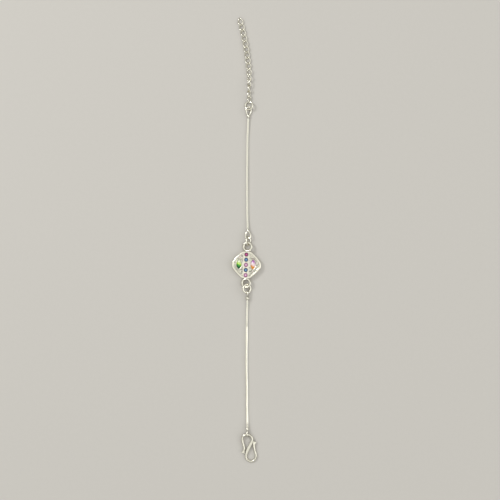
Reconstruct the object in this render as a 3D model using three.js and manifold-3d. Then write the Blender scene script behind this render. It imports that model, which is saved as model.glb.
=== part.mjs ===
// Silver bracelet with a stone-set diamond charm, laid out straight and unfastened.
// Millimetres and degrees, +Z up, lying on z = 0. The origin is the centre of the charm's back,
// and +Y runs along the bracelet towards the size extender.
import * as THREE from 'three';
import { mergeVertices } from 'three/addons/utils/BufferGeometryUtils.js';
import Module from 'manifold-3d';

const wasm = await Module();
wasm.setup();

// Charm plate
const CHARM_WIDTH = 13.4;
const CHARM_HEIGHT = 12.4;
const CHARM_DEPTH = 2.3;
const CHARM_TIP_FLAT = 3.8;
const CHARM_SIDE_FLAT = 2.6;
const CHARM_EDGE_BULGE = 0.25;
const CHARM_CORNER = 0.85;
const CHARM_TURN = -2.35;
const RIM_WIDTH = 1.0;
const RIM_CHAMFER = 0.24;
const FIELD_DEPTH = 0.85;

// Middle band with its row of round stones
const BAND_WIDTH = 2.7;
const BAND_OFFSET = -0.17;
const BAND_DROP = 0.12;
const ROUND_DIAMETER = 1.78;
const ROUND_PITCH = 2.35;
const STONE_CLEARANCE = 0.05;

// Marquise stones, each in a collar that stands in its field
const MARQUISE_LENGTH = 4.3;
const MARQUISE_WIDTH = 2.25;
const MARQUISE_ACROSS = 3.2;
const MARQUISE_ALONG = 0.2;
const COLLAR_WALL = 0.2;
const COLLAR_RISE = 0.1;

// Fields of small clear stones
const FIELD_CLEARANCE = 0.08;
const FIELD_PLATE = 0.36;
const SMALL_STONE_DIAMETER = 0.9;
const SMALL_STONE_SINK = 0.06;

// Rings soldered to the charm
const CHARM_RING_RADIUS = 1.9;
const CHARM_RING_WIRE = 1.1;
const CHARM_RING_LAP = 0.35;
const CHARM_RING_ASIDE = 0.2;
const CHARM_RING_LEAN = -16;
const SOLDER_RADIUS = 0.75;

// Wire links: half the length and half the width of the wire's centre line
const SMALL_LINK_HALF_LENGTH = 1.9;
const SMALL_LINK_HALF_WIDTH = 1.5;
const SMALL_LINK_WIRE = 0.75;
const SMALL_LINK_LEAN = 50;
const BOTTOM_RING_RADIUS = 1.98;
const BOTTOM_RING_WIRE = 0.87;
const BOTTOM_RING_LEAN = 31;
const TOP_RING_RADIUS = 1.82;
const TOP_RING_WIRE = 0.76;
const TOP_RING_LEAN = -24.5;

// Wire loops at the ends of the chains, each with its collar
const FACE_LOOP_WIRE = 0.65;
const FACE_LOOP_HALF_WIDTH = 1.2;
const LOWER_FACE_LOOP_HALF_LENGTH = 1.65;
const UPPER_FACE_LOOP_HALF_LENGTH = 1.9;
const EDGE_LOOP_WIRE = 0.6;
const EDGE_LOOP_HALF_LENGTH = 1.45;
const EDGE_LOOP_HALF_WIDTH = 0.9;
const LOOP_TAPER = 0.3;
const COLLAR_DIAMETER = 1.3;
const COLLAR_LENGTH = 1.5;
const WIDE_COLLAR_DIAMETER = 1.9;

// Box chains
const CHAIN_THICKNESS = 0.95;
const UPPER_CHAIN_LENGTH = 50.6;
const LOWER_CHAIN_LENGTH = 58.3;
const CHAIN_END_GAP = 0.12;
const CHAIN_STEPS = 24;
const CHAIN_LEAD = 1.2;

// Curb links of the extender
const CURB_COUNT = 15;
const CURB_HALF_LENGTH = 1.62;
const CURB_HALF_WIDTH = 1.05;
const CURB_WIRE = 0.52;
const CURB_TWIST = 45;

// S-hook
const HOOK_WIRE = 1.02;
const HOOK_LENGTH = 12.4;
const HOOK_WIDTH = 6.33;

// Play between neighbours along the bracelet, and the lift that keeps a wire just off the ground
const RING_PLAY = 0.2;
const BOTTOM_RING_PLAY = 0.38;
const TOP_LOOP_PLAY = 0.55;
const CURB_PLAY = 0.17;
const HOOK_PLAY = 0.25;
const GROUND_LIFT = 0.02;

const SIDES = 6;
const STEPS = 16;

const silver = new THREE.MeshStandardMaterial({ color: 0xe3dfd2, roughness: 0.22, metalness: 1 });
const clearStone = new THREE.MeshStandardMaterial({ color: 0xeef0ea, roughness: 0.08, metalness: 0 });

function stoneMaterial(color) {
  return new THREE.MeshStandardMaterial({ color, roughness: 0.06, metalness: 0 });
}

// Round stones from the top of the band to its bottom
const ROUND_STONES = [
  { name: 'round_stone_1', color: 0xa3206e },
  { name: 'round_stone_2', color: 0x4a7dc0 },
  { name: 'round_stone_3', color: 0xe39ccb },
  { name: 'round_stone_4', color: 0x4a7dc0 },
  { name: 'round_stone_5', color: 0xd87fbf },
];

// Small stones of one quarter of the charm: across as a share of the way from the band to the rim,
// along as a share of the way from the middle to the rim, and size as a share of their diameter
const SMALL_STONES = [
  { across: 0.135, along: 0.75, size: 0.95 },
  { across: 0.135, along: 0.577, size: 1.02 },
  { across: 0.36, along: 0.577, size: 1.02 },
  { across: 0.53, along: 0.48, size: 0.78 },
  { across: 0.66, along: 0.355, size: 0.9 },
  { across: 0.8, along: 0.192, size: 0.9 },
  { across: 0.1, along: 0.395, size: 0.8 },
  { across: 0.265, along: 0.442, size: 0.65 },
];
const SIDE_STONE = { across: 0.82, along: 0, size: 0.95 };

// Where each chain lies between its two collars: share of its length, place across the bracelet
// and rise off the ground in millimetres
const UPPER_CHAIN_ROUTE = [
  { share: 0.07, x: 0.5, rise: 0.14 },
  { share: 0.15, x: 0.38, rise: 0.03 },
  { share: 0.26, x: 0.36, rise: 0 },
  { share: 0.5, x: 0.36, rise: 0 },
  { share: 0.74, x: 0.42, rise: 0 },
  { share: 0.85, x: 0.52, rise: 0.03 },
  { share: 0.93, x: 0.74, rise: 0.14 },
];
const LOWER_CHAIN_ROUTE = [
  { share: 0.06, x: 0.36, rise: 0.1 },
  { share: 0.16, x: 0.22, rise: 0.02 },
  { share: 0.3, x: 0.24, rise: 0 },
  { share: 0.46, x: 0.04, rise: 0 },
  { share: 0.72, x: 0.1, rise: 0 },
  { share: 0.84, x: 0.18, rise: 0.02 },
  { share: 0.94, x: 0.3, rise: 0.1 },
];

// How the pieces at the chains' ends lie: place across the bracelet, height below or above their
// neighbour's, and turn
const SMALL_LINK_ASIDE = 0.33;
const UPPER_CHAIN_FOOT = { aside: 0.22, below: 0.1, turn: { lean: -16, pitch: -9, yaw: 3 } };
const UPPER_CHAIN_HEAD = { x: 1.0, below: 0.08, turn: { lean: -22, pitch: -5, yaw: -3 } };
const TOP_RING_X = 1.15;
const EXTENDER_ASIDE = 0.15;
const BOTTOM_RING_ASIDE = 0.39;
const LOWER_CHAIN_HEAD = { x: 0.48, below: 0.2, turn: { lean: 90, pitch: -9 } };
const LOWER_CHAIN_FOOT = { x: 0.38, lift: 0.04, turn: { lean: 90, pitch: -4 } };
const HOOK_X = 0.3;
const HOOK_LIFT = 0.05;

// How the extender lies, in shares of its length from its first link to its free end
const EXTENDER_ROUTE = [
  { along: 0, aside: 0 },
  { along: 0.13, aside: -0.002 },
  { along: 0.28, aside: 0.001 },
  { along: 0.42, aside: -0.007 },
  { along: 0.56, aside: -0.024 },
  { along: 0.7, aside: -0.045 },
  { along: 0.84, aside: -0.073 },
  { along: 1, aside: -0.112 },
];

// The first links of the extender turn over. Each further link lies like the last row.
const CURB_TURNS = [
  { lean: 52, lift: 0.02 },
  { lean: 60, lift: 0.01 },
  { lean: 85, lift: 0 },
  { lean: 115, lift: 0 },
  { lean: 136, lift: 0 },
  { lean: 154, lift: 0 },
  { lean: 172, lift: 0 },
];

// The hook's wire from its upper tail to its lower one: place in shares of the hook's width and
// length, section in shares of the wire
const HOOK_SECTIONS = [
  { across: -0.285, along: 0.69, wide: 1.7, thick: 0.48 },
  { across: -0.262, along: 0.655, wide: 1.35, thick: 0.62 },
  { across: -0.234, along: 0.61, wide: 1.08, thick: 0.85 },
  { across: -0.206, along: 0.53, wide: 1, thick: 1 },
  { across: -0.262, along: 0.38, wide: 1, thick: 1 },
  { across: -0.348, along: 0.2, wide: 1, thick: 1 },
  { across: -0.262, along: 0.062, wide: 1, thick: 1 },
  { across: 0, along: 0, wide: 1, thick: 1 },
  { across: 0.28, along: 0.06, wide: 1, thick: 1 },
  { across: 0.371, along: 0.18, wide: 1, thick: 1 },
  { across: 0.325, along: 0.3, wide: 1.18, thick: 0.9 },
  { across: 0.144, along: 0.479, wide: 1.3, thick: 0.78 },
  { across: 0, along: 0.645, wide: 1.2, thick: 0.85 },
  { across: -0.079, along: 0.81, wide: 1, thick: 1 },
  { across: 0.01, along: 0.94, wide: 1, thick: 1 },
  { across: 0.27, along: 1, wide: 1, thick: 1 },
  { across: 0.545, along: 0.938, wide: 1, thick: 1 },
  { across: 0.648, along: 0.8, wide: 1, thick: 1 },
  { across: 0.58, along: 0.65, wide: 1, thick: 1 },
  { across: 0.505, along: 0.5, wide: 1, thick: 1 },
  { across: 0.492, along: 0.39, wide: 1.08, thick: 0.85 },
  { across: 0.525, along: 0.32, wide: 1.35, thick: 0.62 },
  { across: 0.552, along: 0.272, wide: 1.65, thick: 0.48 },
];

const radians = THREE.MathUtils.degToRad;

// Curves of the wires' centre lines

class OvalCurve extends THREE.Curve {
  // A flat oval. A taper above 0 narrows its +Y end.
  constructor(halfWidth, halfLength, taper = 0) {
    super();
    Object.assign(this, { halfWidth, halfLength, taper });
  }

  getPoint(t, target = new THREE.Vector3()) {
    const a = 2 * Math.PI * t;
    const width = this.halfWidth * (1 - this.taper * Math.cos(a));
    return target.set(width * Math.sin(a), this.halfLength * Math.cos(a), 0);
  }
}

class CurbCurve extends THREE.Curve {
  // An oval twisted about its length, so that equal links lie flat one after another
  getPoint(t, target = new THREE.Vector3()) {
    const a = 2 * Math.PI * t;
    const twist = radians(CURB_TWIST) * Math.cos(a);
    const width = CURB_HALF_WIDTH * Math.sin(a);
    return target.set(width * Math.cos(twist), CURB_HALF_LENGTH * Math.cos(a), width * Math.sin(twist));
  }
}

function turned({ lean = 0, pitch = 0, yaw = 0 }) {
  return new THREE.Euler(radians(pitch), radians(lean), radians(yaw), 'ZXY');
}

// The height at which a turned wire curve just clears the ground
function restHeight(curve, wire, turn) {
  const lowest = curve.getPoints(96).map((p) => p.applyEuler(turned(turn)).z);
  return wire / 2 + GROUND_LIFT - Math.min(...lowest);
}

// Solids from rings of points, each ring anticlockwise seen from the last ring's side
function loft(rings) {
  const count = rings[0].length;
  const positions = rings.flat().flatMap((p) => [p.x, p.y, p.z]);
  const index = [];
  for (let r = 0; r < rings.length - 1; r++) {
    for (let i = 0; i < count; i++) {
      const a = r * count + i;
      const b = r * count + ((i + 1) % count);
      index.push(a, b, b + count, a, b + count, a + count);
    }
  }
  const top = (rings.length - 1) * count;
  for (let i = 1; i < count - 1; i++) {
    index.push(0, i + 1, i, top, top + i, top + i + 1);
  }
  const geometry = new THREE.BufferGeometry();
  geometry.setAttribute('position', new THREE.Float32BufferAttribute(positions, 3));
  geometry.setIndex(index);
  return geometry;
}

function ringAt(outline, z, scaleX = 1, scaleY = scaleX) {
  return outline.map((p) => new THREE.Vector3(p.x * scaleX, p.y * scaleY, z));
}

function solidOf(geometry, matrix = new THREE.Matrix4()) {
  const plain = new THREE.BufferGeometry();
  plain.setAttribute('position', geometry.getAttribute('position').clone());
  plain.setIndex(geometry.getIndex());
  plain.applyMatrix4(matrix);
  const merged = mergeVertices(plain, 1e-5);
  return new wasm.Manifold(new wasm.Mesh({
    numProp: 3,
    vertProperties: new Float32Array(merged.getAttribute('position').array),
    triVerts: new Uint32Array(merged.getIndex().array),
  }));
}

function geometryOf(solid) {
  const { vertProperties, triVerts } = solid.getMesh();
  const geometry = new THREE.BufferGeometry();
  geometry.setAttribute('position', new THREE.BufferAttribute(vertProperties, 3));
  geometry.setIndex(new THREE.BufferAttribute(triVerts, 1));
  return geometry;
}

function placed(x, y, z, turn = {}) {
  const quaternion = new THREE.Quaternion().setFromEuler(turned(turn));
  return new THREE.Matrix4().compose(new THREE.Vector3(x, y, z), quaternion, new THREE.Vector3(1, 1, 1));
}

function closedWire(curve, wire, sides = SIDES) {
  return new THREE.TubeGeometry(curve, STEPS, wire / 2, sides, true);
}

function named(name, geometry, material) {
  const mesh = new THREE.Mesh(geometry, material);
  mesh.name = name;
  return mesh;
}

// Flat outlines

// The corners of the charm's outline, its long edges bulged at their middles, moved in by inset
function charmCorners(inset) {
  const w = CHARM_WIDTH / 2;
  const h = CHARM_HEIGHT / 2;
  const tip = CHARM_TIP_FLAT / 2;
  const side = CHARM_SIDE_FLAT / 2;
  const bulge = CHARM_EDGE_BULGE * Math.SQRT1_2;
  const quarter = [
    new THREE.Vector2(w, side),
    new THREE.Vector2((w + tip) / 2 + bulge, (h + side) / 2 + bulge),
    new THREE.Vector2(tip, h),
  ];
  const mirrored = [...quarter].reverse().map((p) => new THREE.Vector2(-p.x, p.y));
  const upper = [...quarter, ...mirrored];
  const corners = [...upper, ...upper.map((p) => p.clone().negate())];
  return insetPolygon(corners, inset);
}

function insetPolygon(corners, inset) {
  return corners.map((corner, i) => {
    const before = corners.at(i - 1);
    const after = corners[(i + 1) % corners.length];
    const n1 = corner.clone().sub(before).normalize();
    const n2 = after.clone().sub(corner).normalize();
    const inward = new THREE.Vector2(-n1.y, n1.x).add(new THREE.Vector2(-n2.y, n2.x)).normalize();
    const reach = inset / Math.cos(Math.abs(n1.angleTo(n2)) / 2);
    return corner.clone().addScaledVector(inward, reach);
  });
}

// Rounds each corner of a polygon with a short curve
function rounded(corners, size, steps = 3) {
  const points = [];
  corners.forEach((corner, i) => {
    const before = corners.at(i - 1);
    const after = corners[(i + 1) % corners.length];
    const reach = Math.min(size, corner.distanceTo(before) * 0.4, corner.distanceTo(after) * 0.4);
    const start = corner.clone().lerp(before, reach / corner.distanceTo(before));
    const end = corner.clone().lerp(after, reach / corner.distanceTo(after));
    points.push(...new THREE.QuadraticBezierCurve(start, corner, end).getPoints(steps));
  });
  return points;
}

// The part of a convex polygon where side * (x - limit) is above 0
function clipped(corners, limit, side) {
  const kept = [];
  corners.forEach((corner, i) => {
    const next = corners[(i + 1) % corners.length];
    const here = side * (corner.x - limit);
    const there = side * (next.x - limit);
    if (here > 0) kept.push(corner);
    if (here > 0 !== there > 0) kept.push(corner.clone().lerp(next, here / (here - there)));
  });
  return kept;
}

function fieldOutline(side, clearance) {
  const limit = BAND_OFFSET + side * (BAND_WIDTH / 2 + clearance);
  return rounded(clipped(charmCorners(RIM_WIDTH + clearance), limit, side), 0.5, 2);
}

// Two arcs that meet in a point at each end
function marquiseOutline(grow = 0, count = 20) {
  const w = MARQUISE_WIDTH / 2 + grow;
  const h = MARQUISE_LENGTH / 2 + grow;
  const radius = (w * w + h * h) / (2 * w);
  const reach = Math.asin(h / radius);
  const points = [];
  for (const side of [1, -1]) {
    for (let i = 0; i < count / 2; i++) {
      const a = side * reach * ((4 * i) / count - 1);
      points.push(new THREE.Vector2(side * (radius * Math.cos(a) - radius + w), radius * Math.sin(a)));
    }
  }
  return points;
}

function circleOutline(radius, count) {
  return Array.from({ length: count }, (_, i) => {
    const a = (2 * Math.PI * i) / count;
    return new THREE.Vector2(radius * Math.cos(a), radius * Math.sin(a));
  });
}

// Cut stones, with the top of the girdle at z = 0. Heights are shares of the stone's width.
const CROWN = 0.17;
const GIRDLE = 0.035;
const PAVILION = 0.4;
const TABLE = 0.56;
const CULET = 0.06;

function cutStone(outline, width) {
  return loft([
    ringAt(outline, -(GIRDLE + PAVILION) * width, CULET),
    ringAt(outline, -GIRDLE * width),
    ringAt(outline, 0),
    ringAt(outline, CROWN * width, TABLE),
  ]);
}

// The space that a cut stone needs, open upwards
function stoneSeat(outline, width, top) {
  return loft([
    ringAt(outline, -(GIRDLE + PAVILION) * width - 2 * STONE_CLEARANCE, CULET),
    ringAt(outline, -GIRDLE * width - STONE_CLEARANCE / 2),
    ringAt(outline, top),
  ]);
}

// Heights in the charm
const bandTop = CHARM_DEPTH - BAND_DROP;
const fieldFloor = CHARM_DEPTH - FIELD_DEPTH;
const collarTop = CHARM_DEPTH + COLLAR_RISE;
const fieldPlateBottom = fieldFloor + FIELD_CLEARANCE;
const fieldPlateTop = fieldPlateBottom + FIELD_PLATE;

// The charm's rings lean one way and the links through them the other, all on one height
const smallLinkCurve = new OvalCurve(SMALL_LINK_HALF_WIDTH, SMALL_LINK_HALF_LENGTH);
const smallLinkTurn = { lean: SMALL_LINK_LEAN };
const smallLinkHeight = restHeight(smallLinkCurve, SMALL_LINK_WIRE, smallLinkTurn);
const charmRingHeight = smallLinkHeight;
const charmRingAlong = CHARM_HEIGHT / 2 + CHARM_RING_RADIUS + CHARM_RING_WIRE / 2 - CHARM_RING_LAP;

function charmPlate() {
  const outline = (inset) => rounded(charmCorners(inset), CHARM_CORNER);
  let plate = solidOf(loft([
    ringAt(outline(RIM_CHAMFER / 2), 0),
    ringAt(outline(0), RIM_CHAMFER / 2),
    ringAt(outline(0), CHARM_DEPTH - RIM_CHAMFER),
    ringAt(outline(RIM_CHAMFER), CHARM_DEPTH),
  ]));
  const above = CHARM_DEPTH + 1;
  for (const side of [-1, 1]) {
    const field = fieldOutline(side, 0);
    plate = plate.subtract(solidOf(loft([ringAt(field, fieldFloor), ringAt(field, above)])));
    const at = new THREE.Matrix4().makeTranslation(marquiseX(side), MARQUISE_ALONG, 0);
    const collar = marquiseOutline(STONE_CLEARANCE + COLLAR_WALL);
    plate = plate.add(solidOf(loft([ringAt(collar, fieldFloor / 2), ringAt(collar, collarTop)]), at));
  }
  plate = plate.subtract(solidOf(bandChannel()));
  for (const side of [-1, 1]) {
    const seat = stoneSeat(marquiseOutline(STONE_CLEARANCE), MARQUISE_WIDTH, above);
    const at = new THREE.Matrix4().makeTranslation(marquiseX(side), MARQUISE_ALONG, collarTop);
    plate = plate.subtract(solidOf(seat, at));
  }
  const roundSeat = stoneSeat(circleOutline(ROUND_DIAMETER / 2 + STONE_CLEARANCE, 16), ROUND_DIAMETER, above);
  ROUND_STONES.forEach((_, i) => {
    const at = new THREE.Matrix4().makeTranslation(BAND_OFFSET, roundStoneY(i), bandTop);
    plate = plate.subtract(solidOf(roundSeat, at));
  });
  const ring = closedWire(new OvalCurve(CHARM_RING_RADIUS, CHARM_RING_RADIUS), CHARM_RING_WIRE, 8);
  const solder = new THREE.SphereGeometry(SOLDER_RADIUS, 10, 6).scale(1.3, 0.8, 0.75);
  for (const end of [-1, 1]) {
    const turn = { lean: CHARM_RING_LEAN };
    const ringAtEnd = placed(CHARM_RING_ASIDE, end * charmRingAlong, charmRingHeight, turn);
    const solderAtEnd = placed(CHARM_RING_ASIDE, end * (CHARM_HEIGHT / 2), charmRingHeight, turn);
    plate = plate.add(solidOf(ring, ringAtEnd)).add(solidOf(solder, solderAtEnd));
  }
  return named('charm_plate', geometryOf(plate), silver);
}

// The shallow channel that lowers the band's top between the rims
function bandChannel() {
  const w = BAND_WIDTH / 2 - COLLAR_WALL;
  const h = CHARM_HEIGHT / 2 - RIM_WIDTH;
  const corners = [[w, -h], [w, h], [-w, h], [-w, -h]].map(([x, y]) => new THREE.Vector2(x + BAND_OFFSET, y));
  return loft([ringAt(corners, bandTop), ringAt(corners, CHARM_DEPTH + 1)]);
}

function marquiseX(side) {
  return BAND_OFFSET + side * MARQUISE_ACROSS;
}

function roundStoneY(index) {
  return ROUND_PITCH * ((ROUND_STONES.length - 1) / 2 - index);
}

function roundStones() {
  return ROUND_STONES.map(({ name, color }, i) => {
    const geometry = cutStone(circleOutline(ROUND_DIAMETER / 2, 16), ROUND_DIAMETER);
    const stone = named(name, geometry, stoneMaterial(color));
    stone.position.set(BAND_OFFSET, roundStoneY(i), bandTop);
    return stone;
  });
}

function marquiseStone(name, side, color) {
  const stone = named(name, cutStone(marquiseOutline(), MARQUISE_WIDTH), stoneMaterial(color));
  stone.position.set(marquiseX(side), MARQUISE_ALONG, collarTop);
  return stone;
}

// One field: a thin silver plate round the marquise's collar, with the small stones fused to it
function paveField(name, side) {
  const outline = fieldOutline(side, FIELD_CLEARANCE);
  const bandEdge = BAND_OFFSET + (side * BAND_WIDTH) / 2;
  const rimEdge = side * (CHARM_WIDTH / 2 - RIM_WIDTH);
  let field = solidOf(loft([ringAt(outline, fieldPlateBottom), ringAt(outline, fieldPlateTop)]));
  const rows = [...SMALL_STONES, ...SMALL_STONES.map((row) => ({ ...row, along: -row.along })), SIDE_STONE];
  for (const { across, along, size } of rows) {
    const width = size * SMALL_STONE_DIAMETER;
    const outlineOfStone = circleOutline(width / 2, 8);
    const stone = loft([
      ringAt(outlineOfStone, -SMALL_STONE_SINK),
      ringAt(outlineOfStone, SMALL_STONE_SINK),
      ringAt(outlineOfStone, SMALL_STONE_SINK + CROWN * width, TABLE),
    ]);
    const x = THREE.MathUtils.lerp(bandEdge, rimEdge, across);
    const y = along * (CHARM_HEIGHT / 2 - RIM_WIDTH);
    const at = new THREE.Matrix4().makeTranslation(x, y, fieldPlateTop);
    field = field.add(solidOf(stone, at));
  }
  const hole = marquiseOutline(STONE_CLEARANCE + COLLAR_WALL + FIELD_CLEARANCE);
  const at = new THREE.Matrix4().makeTranslation(marquiseX(side), MARQUISE_ALONG, 0);
  field = field.subtract(solidOf(loft([ringAt(hole, 0), ringAt(hole, CHARM_DEPTH + 1)]), at));
  return named(name, geometryOf(field), clearStone);
}

function charm() {
  const group = new THREE.Group();
  group.rotation.z = radians(CHARM_TURN);
  group.add(
    charmPlate(),
    ...roundStones(),
    marquiseStone('marquise_left', -1, 0x2f9a45),
    marquiseStone('marquise_right', 1, 0xd7903f),
    paveField('pave_left', -1),
    paveField('pave_right', 1),
  );
  return group;
}

// Places along the bracelet: each neighbour hangs in the one before it with a little play
function pull(halfA, wireA, halfB, wireB, play) {
  return halfA + halfB - (wireA + wireB) / 2 - play;
}

function charmRingCentre(end) {
  const centre = new THREE.Vector3(CHARM_RING_ASIDE, end * charmRingAlong, charmRingHeight);
  return centre.applyAxisAngle(new THREE.Vector3(0, 0, 1), radians(CHARM_TURN));
}

function wireLink(name, curve, wire, centre, turn) {
  const link = named(name, closedWire(curve, wire), silver);
  link.position.copy(centre);
  link.rotation.copy(turned(turn));
  return link;
}

// A chain's end loop. Its wide end holds the neighbour at -Y before it is turned, and its narrow
// end is soldered into a collar at +Y, where the chain starts.
function endLoop(name, { halfWidth, halfLength, wire, collarDiameter, centre, turn, flip }) {
  const curve = new OvalCurve(halfWidth, halfLength, LOOP_TAPER);
  const collarStart = halfLength - wire / 2;
  const barrel = [0.62, 0.92, 1, 0.92, 0.74].map((share, i) => (
    new THREE.Vector2((share * collarDiameter) / 2, (i / 4) * COLLAR_LENGTH)));
  const profile = [new THREE.Vector2(0, 0), ...barrel, new THREE.Vector2(0, COLLAR_LENGTH)];
  const collar = new THREE.LatheGeometry(profile, 10).translate(0, collarStart, 0);
  const solid = solidOf(closedWire(curve, wire)).add(solidOf(collar));
  const full = { ...turn, yaw: (turn.yaw ?? 0) + (flip ? 180 : 0) };
  const loop = named(name, geometryOf(solid), silver);
  loop.position.copy(centre);
  loop.rotation.copy(turned(full));
  const ahead = new THREE.Vector3(0, 1, 0).applyEuler(turned(full));
  const exit = centre.clone().addScaledVector(ahead, collarStart + COLLAR_LENGTH);
  return { loop, exit, ahead, reach: collarStart + COLLAR_LENGTH };
}

// The outer form of a box chain between two collars: a square tube with bevelled edges
function chain(name, from, to, route) {
  const h = CHAIN_THICKNESS / 2;
  const b = CHAIN_THICKNESS * 0.3;
  const section = new THREE.Shape([[h, -b], [h, b], [b, h], [-b, h], [-h, b], [-h, -b], [-b, -h], [b, -h]]
    .map(([x, y]) => new THREE.Vector2(x, y)));
  const span = to.exit.y - from.exit.y;
  const resting = h + GROUND_LIFT;
  const path = new THREE.CatmullRomCurve3([
    from.exit.clone().addScaledVector(from.ahead, CHAIN_END_GAP),
    from.exit.clone().addScaledVector(from.ahead, CHAIN_LEAD),
    ...route.map(({ share, x, rise }) => new THREE.Vector3(x, from.exit.y + share * span, resting + rise)),
    to.exit.clone().addScaledVector(to.ahead, CHAIN_LEAD),
    to.exit.clone().addScaledVector(to.ahead, CHAIN_END_GAP),
  ], false, 'centripetal');
  const geometry = new THREE.ExtrudeGeometry(section, { steps: CHAIN_STEPS, extrudePath: path });
  return named(name, geometry, silver);
}

// From the charm up to the ring that holds the extender
function upperSide() {
  const ring = charmRingCentre(1);
  const linkY = ring.y + pull(CHARM_RING_RADIUS, CHARM_RING_WIRE, SMALL_LINK_HALF_LENGTH, SMALL_LINK_WIRE, RING_PLAY);
  const link = wireLink('small_link', smallLinkCurve, SMALL_LINK_WIRE,
    new THREE.Vector3(ring.x + SMALL_LINK_ASIDE, linkY, smallLinkHeight), smallLinkTurn);
  const bottomY = linkY + pull(SMALL_LINK_HALF_LENGTH, SMALL_LINK_WIRE,
    LOWER_FACE_LOOP_HALF_LENGTH, FACE_LOOP_WIRE, RING_PLAY);
  const bottom = endLoop('upper_chain_bottom_loop', {
    halfWidth: FACE_LOOP_HALF_WIDTH,
    halfLength: LOWER_FACE_LOOP_HALF_LENGTH,
    wire: FACE_LOOP_WIRE,
    collarDiameter: COLLAR_DIAMETER,
    centre: new THREE.Vector3(ring.x + UPPER_CHAIN_FOOT.aside, bottomY, smallLinkHeight - UPPER_CHAIN_FOOT.below),
    turn: UPPER_CHAIN_FOOT.turn,
    flip: false,
  });
  const topReach = UPPER_FACE_LOOP_HALF_LENGTH - FACE_LOOP_WIRE / 2 + COLLAR_LENGTH;
  const topY = bottom.exit.y + UPPER_CHAIN_LENGTH + topReach;
  const topCurve = new OvalCurve(TOP_RING_RADIUS, TOP_RING_RADIUS);
  const topHeight = restHeight(topCurve, TOP_RING_WIRE, { lean: TOP_RING_LEAN });
  const top = endLoop('upper_chain_top_loop', {
    halfWidth: FACE_LOOP_HALF_WIDTH,
    halfLength: UPPER_FACE_LOOP_HALF_LENGTH,
    wire: FACE_LOOP_WIRE,
    collarDiameter: COLLAR_DIAMETER,
    centre: new THREE.Vector3(UPPER_CHAIN_HEAD.x, topY, topHeight - UPPER_CHAIN_HEAD.below),
    turn: UPPER_CHAIN_HEAD.turn,
    flip: true,
  });
  const ringY = topY + pull(UPPER_FACE_LOOP_HALF_LENGTH, FACE_LOOP_WIRE, TOP_RING_RADIUS, TOP_RING_WIRE, TOP_LOOP_PLAY);
  const topRing = wireLink('top_jump_ring', topCurve, TOP_RING_WIRE,
    new THREE.Vector3(TOP_RING_X, ringY, topHeight), { lean: TOP_RING_LEAN });
  const strand = chain('upper_chain', bottom, top, UPPER_CHAIN_ROUTE);
  return { meshes: [link, bottom.loop, strand, top.loop, topRing], end: topRing.position };
}

// The extender's links, from the top ring to the free end
function extender(ringCentre) {
  const pitch = 2 * CURB_HALF_LENGTH - CURB_WIRE - CURB_PLAY;
  const length = (CURB_COUNT - 1) * pitch;
  const startY = ringCentre.y + pull(TOP_RING_RADIUS, TOP_RING_WIRE, CURB_HALF_LENGTH, CURB_WIRE, CURB_PLAY);
  const route = new THREE.CatmullRomCurve3(EXTENDER_ROUTE.map(({ along, aside }) => (
    new THREE.Vector3(ringCentre.x + EXTENDER_ASIDE + aside * length, startY + along * length, 0))));
  const curve = new CurbCurve();
  return Array.from({ length: CURB_COUNT }, (_, i) => {
    const u = i / (CURB_COUNT - 1);
    const at = route.getPointAt(u);
    const ahead = route.getTangentAt(u);
    const { lean, lift } = CURB_TURNS[Math.min(i, CURB_TURNS.length - 1)];
    const turn = { lean, yaw: THREE.MathUtils.radToDeg(Math.atan2(-ahead.x, ahead.y)) };
    at.z = restHeight(curve, CURB_WIRE, turn) + lift;
    return wireLink(`extender_link_${String(i + 1).padStart(2, '0')}`, curve, CURB_WIRE, at, turn);
  });
}

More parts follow.
